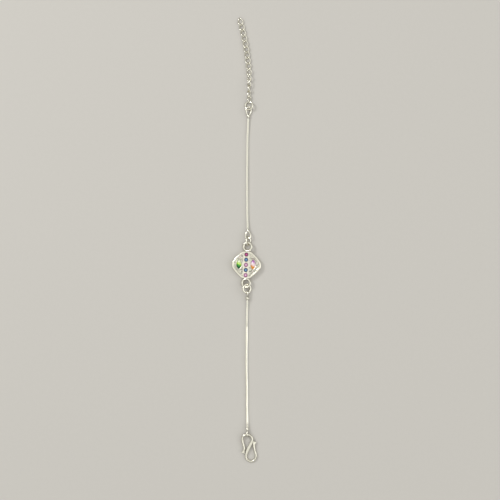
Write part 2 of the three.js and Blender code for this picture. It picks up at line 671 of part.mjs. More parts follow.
// From the charm down to the hook
function lowerSide() {
  const ring = charmRingCentre(-1);
  const curve = new OvalCurve(BOTTOM_RING_RADIUS, BOTTOM_RING_RADIUS);
  const ringY = ring.y - pull(CHARM_RING_RADIUS, CHARM_RING_WIRE, BOTTOM_RING_RADIUS, BOTTOM_RING_WIRE, BOTTOM_RING_PLAY);
  const turn = { lean: BOTTOM_RING_LEAN };
  const jump = wireLink('bottom_jump_ring', curve, BOTTOM_RING_WIRE,
    new THREE.Vector3(ring.x + BOTTOM_RING_ASIDE, ringY, charmRingHeight), turn);
  const topY = ringY - pull(BOTTOM_RING_RADIUS, BOTTOM_RING_WIRE, EDGE_LOOP_HALF_LENGTH, EDGE_LOOP_WIRE, RING_PLAY);
  const top = endLoop('lower_chain_top_loop', {
    halfWidth: EDGE_LOOP_HALF_WIDTH,
    halfLength: EDGE_LOOP_HALF_LENGTH,
    wire: EDGE_LOOP_WIRE,
    collarDiameter: WIDE_COLLAR_DIAMETER,
    centre: new THREE.Vector3(LOWER_CHAIN_HEAD.x, topY, charmRingHeight - LOWER_CHAIN_HEAD.below),
    turn: LOWER_CHAIN_HEAD.turn,
    flip: true,
  });
  const bottomReach = EDGE_LOOP_HALF_LENGTH - EDGE_LOOP_WIRE / 2 + COLLAR_LENGTH;
  const bottomY = top.exit.y - LOWER_CHAIN_LENGTH - bottomReach;
  const bottomHeight = EDGE_LOOP_HALF_WIDTH + EDGE_LOOP_WIRE / 2 + GROUND_LIFT + LOWER_CHAIN_FOOT.lift;
  const bottom = endLoop('lower_chain_bottom_loop', {
    halfWidth: EDGE_LOOP_HALF_WIDTH,
    halfLength: EDGE_LOOP_HALF_LENGTH,
    wire: EDGE_LOOP_WIRE,
    collarDiameter: COLLAR_DIAMETER,
    centre: new THREE.Vector3(LOWER_CHAIN_FOOT.x, bottomY, bottomHeight),
    turn: LOWER_CHAIN_FOOT.turn,
    flip: false,
  });
  const strand = chain('lower_chain', bottom, top, LOWER_CHAIN_ROUTE);
  const apexY = bottomY - EDGE_LOOP_HALF_LENGTH + (EDGE_LOOP_WIRE + HOOK_WIRE) / 2 + HOOK_PLAY;
  const apex = new THREE.Vector3(HOOK_X, apexY, bottomHeight + HOOK_LIFT);
  return [jump, top.loop, strand, bottom.loop, hook(apex)];
}

// The S-hook. Its top bow is lifted by the loop under it, and its bottom bow lies on the ground.
function hook(apex) {
  const path = (key) => HOOK_SECTIONS.map((row) => row[key]);
  const centre = new THREE.CatmullRomCurve3(HOOK_SECTIONS.map(({ across, along }) => (
    new THREE.Vector3(across * HOOK_WIDTH, -along * HOOK_LENGTH, 0))));
  const wide = new THREE.CatmullRomCurve3(path('wide').map((w, i) => new THREE.Vector3(w, path('thick')[i], 0)));
  const steps = 3 * (HOOK_SECTIONS.length - 1);
  const up = new THREE.Vector3(0, 0, 1);
  const rings = Array.from({ length: steps + 1 }, (_, i) => {
    const at = centre.getPoint(i / steps);
    const side = up.clone().cross(centre.getTangent(i / steps)).normalize();
    const section = wide.getPoint(i / steps);
    return circleOutline(HOOK_WIRE / 2, 8).map((p) => (
      at.clone().addScaledVector(side, p.x * section.x).addScaledVector(up, p.y * section.y)));
  });
  const mesh = named('s_hook', loft(rings), silver);
  const drop = apex.z - HOOK_WIRE / 2 - GROUND_LIFT;
  mesh.position.copy(apex);
  mesh.rotation.x = Math.asin(drop / HOOK_LENGTH);
  return mesh;
}

const upper = upperSide();
const bracelet = new THREE.Group();
bracelet.name = 'bracelet';
bracelet.add(charm(), ...upper.meshes, ...extender(upper.end), ...lowerSide());

export default bracelet;
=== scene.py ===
"""Visual model of a silver bracelet with a stone-set diamond charm, laid out straight and open.

+Y runs along the bracelet towards its size extender and +Z points up. Shapes are worked out in
millimetres and become metres when a piece is made.
"""

import math
from typing import NamedTuple

import bmesh
import bpy
from bpy.props import FloatProperty, FloatVectorProperty, IntProperty, PointerProperty
from mathutils import Matrix, Vector


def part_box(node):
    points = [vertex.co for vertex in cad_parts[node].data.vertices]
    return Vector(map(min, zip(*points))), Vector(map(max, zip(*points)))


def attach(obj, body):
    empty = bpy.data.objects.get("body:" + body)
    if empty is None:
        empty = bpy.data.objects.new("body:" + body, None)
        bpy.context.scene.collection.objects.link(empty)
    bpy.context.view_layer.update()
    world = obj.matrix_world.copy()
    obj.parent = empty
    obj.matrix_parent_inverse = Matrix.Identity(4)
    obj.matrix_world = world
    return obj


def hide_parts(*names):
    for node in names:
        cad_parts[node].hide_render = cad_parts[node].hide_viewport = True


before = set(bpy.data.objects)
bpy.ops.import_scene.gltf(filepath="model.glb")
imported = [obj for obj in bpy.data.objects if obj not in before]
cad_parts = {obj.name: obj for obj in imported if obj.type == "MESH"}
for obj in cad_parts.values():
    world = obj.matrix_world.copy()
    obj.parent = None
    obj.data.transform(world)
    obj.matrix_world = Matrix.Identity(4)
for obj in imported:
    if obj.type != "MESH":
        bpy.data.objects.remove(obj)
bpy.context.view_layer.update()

bl_info = {
    "name": "Silver Bracelet",
    "version": (1, 0, 0),
    "blender": (4, 5, 0),
    "location": "3D View > Sidebar > Bracelet",
    "description": "Builds a box-chain bracelet with a stone-set charm, an S-hook and an extender",
    "category": "Add Mesh",
}

MM = 0.001
UP = Vector((0, 0, 1))

# The charm as the CAD has it, in millimetres, with heights from its back
CHARM_WIDTH = 13.4
CHARM_HEIGHT = 12.4
CHARM_DEPTH = 2.3
CHARM_TIP_FLAT = 3.8
CHARM_SIDE_FLAT = 2.6
CHARM_EDGE_BULGE = 0.25
CHARM_CORNER = 0.85
CHARM_TURN = -2.35
RIM_WIDTH = 1.0
FIELD_FLOOR = 1.45
FIELD_TOP = 1.89
FIELD_CLEARANCE = 0.08
FIELD_CORNER = 0.5
BAND_WIDTH = 2.7
BAND_HALF_LENGTH = CHARM_HEIGHT / 2 - RIM_WIDTH + 0.3
BAND_OFFSET = -0.17
BAND_TOP = 2.18
ROUND_COUNT = 5
ROUND_DIAMETER = 1.78
ROUND_PITCH = 2.35
MARQUISE_LENGTH = 4.3
MARQUISE_WIDTH = 2.25
MARQUISE_ACROSS = 3.2
MARQUISE_ALONG = 0.2
MARQUISE_SIDES = 48
COLLAR_WALL = 0.2
COLLAR_TOP = 2.4
STONE_CLEARANCE = 0.05
SMALL_STONE_DIAMETER = 0.9

# Band and collars start inside the body. The band is a little narrower than its rails, so that no
# two faces share a plane.
SETTING_FLOOR = 1.38
BAND_INSET = 0.03

# How far the hole in a field of small stones lies outside its marquise, and from where to where
# it is cut
FIELD_HOLE = STONE_CLEARANCE + COLLAR_WALL + FIELD_CLEARANCE
HOLE_SPAN = (0, 4)

# Profiles of the cast charm. Wall and rim: distance inside the outline, and height.
RIM_PROFILE = [
    (0.14, 0), (0.04, 0.05), (0, 0.14), (0, 1.98), (0.03, 2.1), (0.1, 2.19), (0.22, 2.26),
    (0.38, 2.295), (0.52, CHARM_DEPTH), (0.66, 2.295), (0.8, 2.26), (0.91, 2.19), (0.98, 2.1),
    (RIM_WIDTH, 1.98), (RIM_WIDTH, FIELD_FLOOR),
]
# Rail along the band: share of half its wall, and height
RAIL_PROFILE = [
    (-1, 1.5), (1, 1.5), (1, 2.22), (0.7, 2.28), (0, CHARM_DEPTH), (-0.7, 2.28), (-1, 2.22),
]
# Seat of a round stone: radius and height
SEAT_RADIUS = ROUND_DIAMETER / 2 + STONE_CLEARANCE
SEAT_SIDES = 32
SEAT_PROFILE = [(0.55, 1.3), (0.6, 1.46), (SEAT_RADIUS, 2.06), (SEAT_RADIUS, BAND_TOP + 0.5)]
# Collar of a marquise: distance outside the stone, and height
COLLAR_OUTSIDE = STONE_CLEARANCE + COLLAR_WALL
COLLAR_PROFILE = [
    (COLLAR_OUTSIDE, SETTING_FLOOR), (COLLAR_OUTSIDE, 2.3), (COLLAR_OUTSIDE - 0.03, 2.36),
    (STONE_CLEARANCE + COLLAR_WALL / 2, COLLAR_TOP), (STONE_CLEARANCE + 0.03, 2.37),
    (STONE_CLEARANCE, 2.3), (STONE_CLEARANCE, SETTING_FLOOR),
]

# Beads between the round stones: distance from the band's middle line, and height over the band
BAND_BEAD_ASIDE = 0.42
BAND_BEAD_RISE = 0.04

# Places of the small stones in a quarter of the charm: share of the way from the band to the rim,
# share of the way from the middle to the rim, and share of their diameter
SMALL_STONES = [
    (0.135, 0.75, 0.95),
    (0.135, 0.577, 1.02),
    (0.36, 0.577, 1.02),
    (0.53, 0.48, 0.78),
    (0.66, 0.355, 0.9),
    (0.8, 0.192, 0.9),
    (0.1, 0.395, 0.8),
    (0.265, 0.442, 0.65),
]
SIDE_STONE = (0.82, 0, 0.95)
SMALL_STONE_RISE = 0.03
# How near the collar's hole may come to a small stone's middle, as a share of the stone
COLLAR_NEAR = 0.3

# Smaller stones fill what is left, the largest first, at the points of a square grid
FILLER_DIAMETERS = (0.85, 0.7, 0.55, 0.42)
FILLER_ROOM = 0.2
GRID_STEP = 0.12
GRID_COUNT = 46

# Beads round each small stone. In shares of a bead's radius: how far its middle is from its own
# stone's edge, and how near it may be to any stone's edge and to another bead's middle.
BEADS_ROUND_STONE = 6
BEAD_REACH = 0.8
BEAD_TO_STONE = 0.7
BEAD_TO_BEAD = 1.7
FIELD_BEAD_RISE = 0.05

# The rings soldered to the charm, and the solder's half width, length and height
CHARM_RING_RADIUS = 1.9
CHARM_RING_WIRE = 1.1
CHARM_RING_ALONG = 8.3
CHARM_RING_ASIDE = 0.2
CHARM_RING_HEIGHT = 1.544
CHARM_RING_LEAN = -16
SOLDER_RADIUS = 0.75
SOLDER_SIZE = (1.3 * SOLDER_RADIUS, 0.8 * SOLDER_RADIUS, 0.75 * SOLDER_RADIUS)


class Ring(NamedTuple):
    """A ring or link of round wire, in millimetres, and its lean in degrees."""

    half_width: float
    half_length: float
    wire: float
    lean: float


class Loop(NamedTuple):
    """A wire loop with its collar's diameter, in millimetres, and its lean, pitch and yaw."""

    half_width: float
    half_length: float
    wire: float
    collar: float
    turn: tuple


RINGS = {
    "small_link": Ring(1.5, 1.9, 0.75, 50),
    "top_jump_ring": Ring(1.82, 1.82, 0.76, -24.5),
    "bottom_jump_ring": Ring(1.98, 1.98, 0.87, 31),
}
LOOPS = {
    "upper_chain_bottom_loop": Loop(1.2, 1.65, 0.65, 1.3, (-16, -9, 3)),
    "upper_chain_top_loop": Loop(1.2, 1.9, 0.65, 1.3, (-22, -5, 177)),
    "lower_chain_top_loop": Loop(0.9, 1.45, 0.6, 1.9, (90, -9, 180)),
    "lower_chain_bottom_loop": Loop(0.9, 1.45, 0.6, 1.3, (90, -4, 0)),
}

# How much a loop narrows towards its collar, and the collar's barrel: share of its length, and
# share of its radius
LOOP_TAPER = 0.3
BARREL_LENGTH = 1.5
BARREL_SIDES = 24
BARREL_PROFILE = [
    (0, 0.6), (0.06, 0.7), (0.2, 0.88), (0.4, 0.98), (0.5, 1),
    (0.6, 0.98), (0.8, 0.9), (0.93, 0.78), (1, 0.66),
]

# Curb links of the extender, and how far each of the first ones leans
CURB_COUNT = 15
CURB_HALF_LENGTH = 1.62
CURB_HALF_WIDTH = 1.05
CURB_WIRE = 0.52
CURB_TWIST = 45
CURB_LEANS = (52, 60, 85, 115, 136, 154, 172)

# The hook's wire from its upper tail to its lower one: place in shares of the hook's width and
# length, and section in shares of the wire
HOOK_WIRE = 1.02
HOOK_LENGTH = 12.4
HOOK_WIDTH = 6.33
HOOK_SECTIONS = [
    (-0.285, 0.69, 1.7, 0.48),
    (-0.262, 0.655, 1.35, 0.62),
    (-0.234, 0.61, 1.08, 0.85),
    (-0.206, 0.53, 1, 1),
    (-0.262, 0.38, 1, 1),
    (-0.348, 0.2, 1, 1),
    (-0.262, 0.062, 1, 1),
    (0, 0, 1, 1),
    (0.28, 0.06, 1, 1),
    (0.371, 0.18, 1, 1),
    (0.325, 0.3, 1.18, 0.9),
    (0.144, 0.479, 1.3, 0.78),
    (0, 0.645, 1.2, 0.85),
    (-0.079, 0.81, 1, 1),
    (0.01, 0.94, 1, 1),
    (0.27, 1, 1, 1),
    (0.545, 0.938, 1, 1),
    (0.648, 0.8, 1, 1),
    (0.58, 0.65, 1, 1),
    (0.505, 0.5, 1, 1),
    (0.492, 0.39, 1.08, 0.85),
    (0.525, 0.32, 1.35, 0.62),
    (0.552, 0.272, 1.65, 0.48),
]
HOOK_STEPS = 6
HOOK_MORE_SIDES = 6
# Each tail ends in a blunt edge: distance beyond the last section, and share of its size
HOOK_TAIL = [(0.1, 0.55), (0.06, 0.85)]

# Where the box chains turn about their length: share of the length from the low end, and degrees
CHAIN_ROLLS = {
    "upper_chain": [(0, 0), (0.2, 1), (0.5, -2), (0.8, 1.5), (1, 0)],
    "lower_chain": [(0, 14), (0.06, 26), (0.14, 31), (0.6, 33), (0.74, 28), (0.86, 8), (1, 0)],
}
LINK_BEND = 0.1
STRIP_BEVEL = 0.025
# Solder in a chain's last link: its half length as a share of the pitch, then share of that half
# length and radius
SOLDER_REACH = 0.48
SOLDER_PROFILE = [(-1, 0.12), (-0.8, 0.2), (0.8, 0.2), (1, 0.12)]

# The stage. The floor is in millimetres, and the lights' places and diameters and the camera's
# place over the charm are in metres.
FLOOR_HALF = 3000
FLOOR_DEPTH = 20
FILL_BOX = ((0.75, -0.12, 0.45), 0.6)
SIDE_BOX = ((-0.5, 0.38, 0.62), 0.22)
CAMERA_PLACE = (0.00166, 0.00677)
CAMERA_LENS = 85
CAMERA_SENSOR = 36


def linear(hex_code):
    """An sRGB hex colour as linear red, green and blue."""
    channels = [int(hex_code[i : i + 2], 16) / 255 for i in (1, 3, 5)]
    return tuple(c / 12.92 if c <= 0.04045 else ((c + 0.055) / 1.055) ** 2.4 for c in channels)


# Settings


def size(name, description, default, least):
    """A setting for a size in metres."""
    return FloatProperty(
        name=name, description=description, default=default, min=least, unit="LENGTH", precision=5
    )


def share(name, description, default, least, most):
    """A setting for a size that is a share of a stone."""
    return FloatProperty(
        name=name, description=description, default=default, min=least, max=most, subtype="FACTOR"
    )


def power(name, description, default):
    """A setting for a light's power in watts."""
    return FloatProperty(name=name, description=description, default=default, min=0, unit="POWER")


def colour(name, description, hex_code):
    """A setting for a colour."""
    return FloatVectorProperty(
        name=name, description=description, default=linear(hex_code), subtype="COLOR", min=0, max=1
    )


class BraceletWireSettings(bpy.types.PropertyGroup):
    """Round wire, and the silver of every piece but the box chains"""

    sides: IntProperty(
        name="Sides", description="Faces round the wire", default=14, min=8, max=32
    )
    steps: IntProperty(
        name="Steps", description="Sections round one ring or link", default=56, min=24, max=128
    )
    seam_width: size("Seam Width", "How much the wire thins at a ring's soldered seam", 0.00009, 0)
    silver: colour("Silver", "Colour that the bright metal reflects", "#F4F1E4")
    # Sulphide colour of the dull patches, and of the darkening in recesses, which is partly patina
    # and partly painted shade
    tarnish_and_shade: colour("Tarnish", "Colour of the thin sulphide film in the recesses", "#8E8774")


class BraceletChainSettings(bpy.types.PropertyGroup):
    """Sizes of the box chains' links, and their silver, painted lighter than the wire's as a
    painted highlight
    """

    width: size("Width", "Width of the box chain", 0.00095, 0.0005)
    pitch: size("Pitch", "Distance from one box link to the next", 0.0005, 0.0003)
    gauge: size("Gauge", "Thickness of a box link's strip", 0.000225, 0.0001)
    strip: size("Strip", "Width of a box link's strip", 0.00048, 0.0001)
    # Painted highlight: the chain's silver is lighter than the wire's, so that the thin chain stays
    # bright
    silver: colour("Chain Silver", "Colour that the chain's bright metal reflects", "#FCFAEE")


class BraceletCharmSettings(bpy.types.PropertyGroup):
    """Details of the cast charm and the cut of its stones"""

    band_bead: size("Band Bead", "Diameter of the beads between the round stones", 0.00042, 0.0001)
    field_bead: size("Field Bead", "Diameter of the beads at the small stones", 0.0003, 0.0001)
    table: share("Table", "Width of a cut stone's flat top", 0.56, 0.3, 0.8)
    crown: share("Crown", "Height of a cut stone above its girdle", 0.17, 0.05, 0.3)


class BraceletStoneSettings(bpy.types.PropertyGroup):
    """Colours of the cut stones"""

    # The round stones' rim colours are darkened as painted shade, and their middle colours
    # lightened as painted light
    magenta_shaded_rim: colour("Magenta Edge", "Rim of the magenta stone", "#6A0848")
    magenta_lit_middle: colour("Magenta Heart", "Middle of the magenta stone", "#E23CA0")
    blue_shaded_rim: colour("Blue Edge", "Rim of the blue stones", "#103A68")
    blue_lit_middle: colour("Blue Heart", "Middle of the blue stones", "#7CB4EC")
    pink_shaded_rim: colour("Pink Edge", "Rim of the pink stones", "#AC4A92")
    pink_lit_middle: colour("Pink Heart", "Middle of the pink stones", "#FFD9F2")
    lime: colour("Lime", "Upper end of the green stone", "#BFF23C")
    grass: colour("Grass", "Middle of the green stone", "#37A936")
    emerald: colour("Emerald", "Lower end of the green stone", "#005C34")
    glint: colour("Glint", "Tip of the green stone, where it mirrors the light", "#F1F8DC")
    violet: colour("Violet", "Upper end of the two-coloured stone", "#BE50C4")
    # A painted highlight: the pinkish white in the middle of the two-coloured stone
    painted_highlight_pink: colour("Blush", "Middle of the two-coloured stone", "#FBE6EC")
    orange: colour("Orange", "Lower end of the two-coloured stone", "#F29A34")
    clear: colour("Clear", "The small clear stones", "#F4F1E4")
    # Painted fire: green and pink sparks that stand for light split into colours by the small
    # stones
    painted_green_fire: colour("Leaf Spark", "Green sparks in the small clear stones", "#B4D696")
    painted_pink_fire: colour("Rose Spark", "Pink sparks in the small clear stones", "#E6B3BB")
    shade: colour("Shade", "Facets of the small stones that look dark", "#4E4A3E")


class BraceletStageSettings(bpy.types.PropertyGroup):
    """Floor, light and camera"""

    floor: colour("Floor", "Colour of the plain floor", "#CAC7C2")
    fill: power("Fill Light", "Power of the large soft light on the right", 1.2)
    side: power("Side Light", "Power of the narrow light from the upper left", 2.2)
    camera_height: size("Camera Height", "Height of the camera above the floor", 0.5393, 0.1)


# Shells: each is a list of points in millimetres, a list of faces and a material number


def outline_circle(radius, sides):
    turns = [math.tau * i / sides for i in range(sides)]
    return [(radius * math.cos(a), radius * math.sin(a)) for a in turns]


def outline_strip(thick, wide, corner):
    """A rectangle with its corners cut, thick across and wide up."""
    x, y = thick / 2, wide / 2
    return [
        (x, -y + corner), (x, y - corner), (x - corner, y), (-x + corner, y),
        (-x, y - corner), (-x, -y + corner), (-x + corner, -y), (x - corner, -y),
    ]


def tube(points, outlines, closed=True):
    """A shell along a path, with an outline of (across, up) pairs for each point."""
    last = len(points) - 1
    rings = []
    for i, here in enumerate(points):
        before = points[i - 1] if closed or i else here
        after = points[(i + 1) % len(points)] if closed or i < last else here
        along = (after - before).normalized()
        across = along.cross(UP).normalized()
        up = across.cross(along)
        rings.append([here + across * u + up * v for u, v in outlines[i]])
    return loft(rings, capped=not closed)


def loft(rings, capped=True):
    """A shell through rings of points, with flat ends or joined from its last ring to its first."""
    count = len(rings[0])
    points = [p for ring in rings for p in ring]
    faces = []
    for r in range(len(rings) - 1 if capped else len(rings)):
        here, there = r * count, (r + 1) % len(rings) * count
        for i in range(count):
            j = (i + 1) % count
            faces.append((here + i, here + j, there + j, there + i))
    if capped:
        faces.append(tuple(reversed(range(count))))
        faces.append(tuple(range(len(points) - count, len(points))))
    return points, faces, 0


def flat_ring(outline, height):
    return [Vector((x, y, height)) for x, y in outline]


def turned_round(profile, sides):
    """A shell turned about +Y from (distance along, radius) pairs."""
    return loft([
        [Vector((x, along, z)) for x, z in outline_circle(radius, sides)]
        for along, radius in profile
    ])


def ball(centre, radii, rows=6, sides=12):
    """A rounded bead with the given (x, y, z) radii."""
    rings = []
    for row in range(rows + 1):
        a = math.pi * (row / rows - 0.5)
        reach = max(math.cos(a), 0.02)
        rings.append([
            Vector((centre[0] + radii[0] * reach * x, centre[1] + radii[1] * reach * y,
                    centre[2] + radii[2] * math.sin(a)))
            for x, y in outline_circle(1, sides)
        ])
    return loft(rings)


def moved(shell, matrix):
    points, faces, material = shell
    return [matrix @ p for p in points], faces, material


def cut_stone(outline, width, charm, material=0):
    """A brilliant-cut stone on 16 outline points, with its girdle's top at height 0."""
    girdle, depth = 0.035 * width, 0.4 * width
    spread = math.cos(math.pi / 8)
    # How far out the middle corners of crown and pavilion lie
    upper, lower = 0.8, 0.34

    def at(index, reach, height):
        x, y = outline[index % 16]
        return Vector((x * reach, y * reach, height))

    crown = charm.crown * width
    star = crown * (1 - upper * spread) / (1 - charm.table)
    main = -girdle - (depth - girdle) * (1 - lower * spread)
    points = [at(2 * k, charm.table, crown) for k in range(8)]
    points += [at(2 * k + 1, upper, star) for k in range(8)]
    points += [at(k, 1, 0) for k in range(16)]
    points += [at(k, 1, -girdle) for k in range(16)]
    points += [at(2 * k + 1, lower, main) for k in range(8)]
    points.append(Vector((0, 0, -depth)))
    # Points are numbered table 0 to 7, crown 8 to 15, girdle 16 to 47, pavilion 48 to 55 and tip
    faces = [tuple(range(8))]
    for k in range(8):
        nxt = (k + 1) % 8
        rim, mid, far = 16 + 2 * k, 16 + 2 * k + 1, 16 + (2 * k + 2) % 16
        faces.append((k, 8 + k, nxt))
        faces.append((nxt, 8 + k, far, 8 + nxt))
        faces += [(8 + k, rim, mid), (8 + k, mid, far)]
        faces += [(rim, rim + 16, mid + 16, mid), (mid, mid + 16, far + 16, far)]
        faces += [(48 + k, mid + 16, rim + 16), (48 + k, far + 16, mid + 16)]
        faces.append((56, 48 + nxt, far + 16, 48 + k))
    return points, faces, material


def cut_shell(shell, cutters):
    """What is left of a shell when others are cut out of it."""
    piece, cutter = make_piece("uncut", [shell], []), make_piece("cutter", cutters, [])
    change = piece.modifiers.new("Cut", "BOOLEAN")
    change.operation = "DIFFERENCE"
    change.solver = "EXACT"
    change.object = cutter
    bpy.context.view_layer.update()
    ready = piece.evaluated_get(bpy.context.evaluated_depsgraph_get())
    mesh = bpy.data.meshes.new_from_object(ready)
    points = [v.co / MM for v in mesh.vertices]
    faces = [tuple(p.vertices) for p in mesh.polygons]
    for used in (piece.data, cutter.data, mesh):
        bpy.data.meshes.remove(used)
    if not faces:
        raise RuntimeError("nothing is left of a shell after its cut")
    return points, faces, 0


# Curves


def oval(half_width, half_length, taper, steps):
    """A flat oval whose +Y end is narrowed by taper."""
    points = []
    for i in range(steps):
        a = math.tau * i / steps
        width = half_width * (1 - taper * math.cos(a))
        points.append(Vector((width * math.sin(a), half_length * math.cos(a), 0)))
    return points


def curb_oval(steps):
    """An oval twisted about its length, so that equal links lie flat one after another."""
    points = []
    for i in range(steps):
        a = math.tau * i / steps
        twist = math.radians(CURB_TWIST) * math.cos(a)
        width = CURB_HALF_WIDTH * math.sin(a)
        points.append(Vector((
            width * math.cos(twist), CURB_HALF_LENGTH * math.cos(a), width * math.sin(twist)
        )))
    return points


def smooth_rows(rows, steps):
    """Rows of numbers made into a smooth run with steps points for each pair of rows."""
    made = []
    for i in range(len(rows) - 1):
        p0, p1, p2 = rows[max(i - 1, 0)], rows[i], rows[i + 1]
        p3 = rows[min(i + 2, len(rows) - 1)]
        for k in range(steps):
            t = k / steps
            made.append([
                0.5 * (2 * b + (c - a) * t + (2 * a - 5 * b + 4 * c - d) * t * t
                       + (3 * b - a - 3 * c + d) * t ** 3)
                for a, b, c, d in zip(p0, p1, p2, p3)
            ])
    made.append(list(rows[-1]))
    return made


def value_at(rows, place):
    """The value at a share of the way, from (share, value) rows."""
    for (s0, v0), (s1, v1) in zip(rows, rows[1:]):
        if place <= s1:
            t = (place - s0) / (s1 - s0)
            t = t * t * (3 - 2 * t)
            return v0 + (v1 - v0) * t
    return rows[-1][1]


def middle_line(node, count=70, margin=0.5):
    """Points along the middle of a long CAD node, from its low Y end to its high one."""
    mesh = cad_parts[node].data
    edges = [[mesh.vertices[v].co / MM for v in e.vertices] for e in mesh.edges]
    low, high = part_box(node)
    start, end = low.y / MM, high.y / MM
    points = []
    for i in range(count):
        y = start + margin + (end - start - 2 * margin) * i / (count - 1)
        cut = [a.lerp(b, (y - a.y) / (b.y - a.y)) for a, b in edges if (a.y - y) * (b.y - y) < 0]
        xs, zs = [p.x for p in cut], [p.z for p in cut]
        points.append(Vector(((min(xs) + max(xs)) / 2, y, (min(zs) + max(zs)) / 2)))
    first = points[0] + (points[0] - points[1]).normalized() * margin
    last = points[-1] + (points[-1] - points[-2]).normalized() * margin
    return [first, *points, last]


def turn_matrix(lean=0.0, pitch=0.0, yaw=0.0):
    """The CAD's turns in degrees: lean about the length, then pitch, then yaw."""
    return (
        Matrix.Rotation(math.radians(yaw), 4, "Z")
        @ Matrix.Rotation(math.radians(pitch), 4, "X")
        @ Matrix.Rotation(math.radians(lean), 4, "Y")
    )


# Pieces


def make_piece(name, shells, materials, sharp=35):
    """Joins shells into one piece in metres, facing out and smooth up to sharp degrees."""
    mesh = bpy.data.meshes.new(name)
    points, faces, numbers = [], [], []
    for shell_points, shell_faces, material in shells:
        start = len(points)
        points += [p * MM for p in shell_points]
        faces += [[start + i for i in face] for face in shell_faces]
        numbers += [material] * len(shell_faces)
    mesh.from_pydata(points, [], faces)
    mesh.polygons.foreach_set("material_index", numbers)
    for material in materials:
        mesh.materials.append(material)
    edit = bmesh.new()
    edit.from_mesh(mesh)
    bmesh.ops.recalc_face_normals(edit, faces=edit.faces)
    edit.to_mesh(mesh)
    edit.free()
    mesh.shade_smooth()
    mesh.set_sharp_from_angle(angle=math.radians(sharp))
    piece = bpy.data.objects.new(name, mesh)
    bpy.context.scene.collection.objects.link(piece)
    return piece


def seat(piece, node):
    """Puts a piece where its CAD node is: at its height, and with its middle as seen from above."""
    low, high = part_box(node)
    spots = [v.co for v in piece.data.vertices]
    least = Vector([min(p[k] for p in spots) for k in range(3)])
    most = Vector([max(p[k] for p in spots) for k in range(3)])
    piece.location = (low + high - least - most) / 2
    piece.location.z = low.z - least.z


def hand_over(piece, slot, *nodes):
    """Lets a finished piece stand for its CAD nodes."""
    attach(piece, "root")
    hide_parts(*nodes)


def wire_piece(name, node, shells, silver):
    """Makes a piece of silver wire, puts it where its CAD node is and lets it stand for it."""
    piece = make_piece(name, shells, [silver])
    seat(piece, node)
    hand_over(piece, "silver", node)


# Materials


def add_node(tree, kind, inputs=(), stops=(), **settings):
    """Adds one shader node with its settings. An input that is a socket is linked, others are set.

    stops are a colour ramp's positions and colours."""
    node = tree.nodes.new(f"ShaderNode{kind}")
    for name, value in settings.items():
        setattr(node, name, value)
    for key, value in dict(inputs).items():
        if isinstance(value, bpy.types.NodeSocket):
            tree.links.new(value, node.inputs[key])
        else:
            node.inputs[key].default_value = value
    if stops:
        elements = node.color_ramp.elements
        while len(elements) < len(stops):
            elements.new(0.5)
        for element, (position, tint) in zip(elements, stops):
            element.position = position
            element.color = (*tint, 1)
    return node


def shared_material(name, surface, *values):
    """The material of that name, made the first time that a piece asks for it.

    surface adds the nodes, which start from the place on the piece, and gives back the shader."""
    material = bpy.data.materials.get(name)
    if material is None:
        material = bpy.data.materials.new(name)
        material.use_nodes = True
        tree = material.node_tree
        tree.nodes.clear()
        place = add_node(tree, "TexCoord").outputs["Object"]
        shader = surface(tree, place, *values)
        add_node(tree, "OutputMaterial", {"Surface": shader.outputs["BSDF"]})
    return material


class SilverFinish(NamedTuple):
    """How a silver surface was worked, with sizes in millimetres.

    Its roughness goes from smooth to rough in patches, which are patch wide and lie dent deep.
    scratch is the depth of the fine marks. hollow is how near a wall has to be to darken a recess,
    film how far the recess darkens towards the sulphide colour, partly as patina and partly as
    painted shade, and bloom how much the patches carry on open faces."""

    smooth: float
    rough: float
    patch: float
    dent: float
    scratch: float
    hollow: float
    film_and_shade: float
    bloom: float


def sterling_silver(tree, place, silver, tarnish_and_shade, finish):
    """Sterling silver: bright warm metal, uneven in polish, darker in its recesses with patina and
    painted shade.
    """
    patches = add_node(tree, "TexNoise", {
        "Vector": place, "Scale": 1 / (finish.patch * MM), "Detail": 3.0, "Roughness": 0.55,
    })
    polish = add_node(tree, "MapRange", {
        "Value": patches.outputs["Fac"], "From Min": 0.3, "From Max": 0.7,
        "To Min": finish.smooth, "To Max": finish.rough,
    })
    # Recesses are painted darker towards the sulphide colour: partly the patina that silver keeps
    # there, partly painted shade
    hollow = add_node(tree, "AmbientOcclusion", samples=8, only_local=True, inputs={
        "Distance": finish.hollow * MM,
    })
    recess_darkening = add_node(tree, "MapRange", {
        "Value": hollow.outputs["AO"], "From Min": 0.2, "From Max": 0.75,
        "To Min": finish.film_and_shade, "To Max": 0.0,
    })
    cloud = add_node(tree, "Math", operation="MULTIPLY_ADD", inputs={
        0: patches.outputs["Fac"], 1: finish.bloom, 2: recess_darkening.outputs["Result"],
    })
    tone = add_node(tree, "Mix", data_type="RGBA", clamp_factor=True, inputs={
        "Factor": cloud.outputs["Value"], "A": (*silver, 1), "B": (*tarnish_and_shade, 1),
    })
    # Tumbling marks are a few micrometres wide. They are drawn ten times as coarse, to show.
    marks = add_node(tree, "TexNoise", {
        "Vector": place, "Scale": 1 / (0.06 * MM), "Detail": 2.0, "Roughness": 0.6,
    })
    waves = add_node(tree, "Bump", {
        "Strength": 1.0, "Distance": finish.dent * MM, "Height": patches.outputs["Fac"],
    })
    relief = add_node(tree, "Bump", {
        "Strength": 0.35, "Distance": finish.scratch * MM, "Height": marks.outputs["Fac"],
        "Normal": waves.outputs["Normal"],
    })
    return add_node(tree, "BsdfPrincipled", {
        "Base Color": tone.outputs["Result"], "Metallic": 1.0,
        "Roughness": polish.outputs["Result"], "Normal": relief.outputs["Normal"],
    })


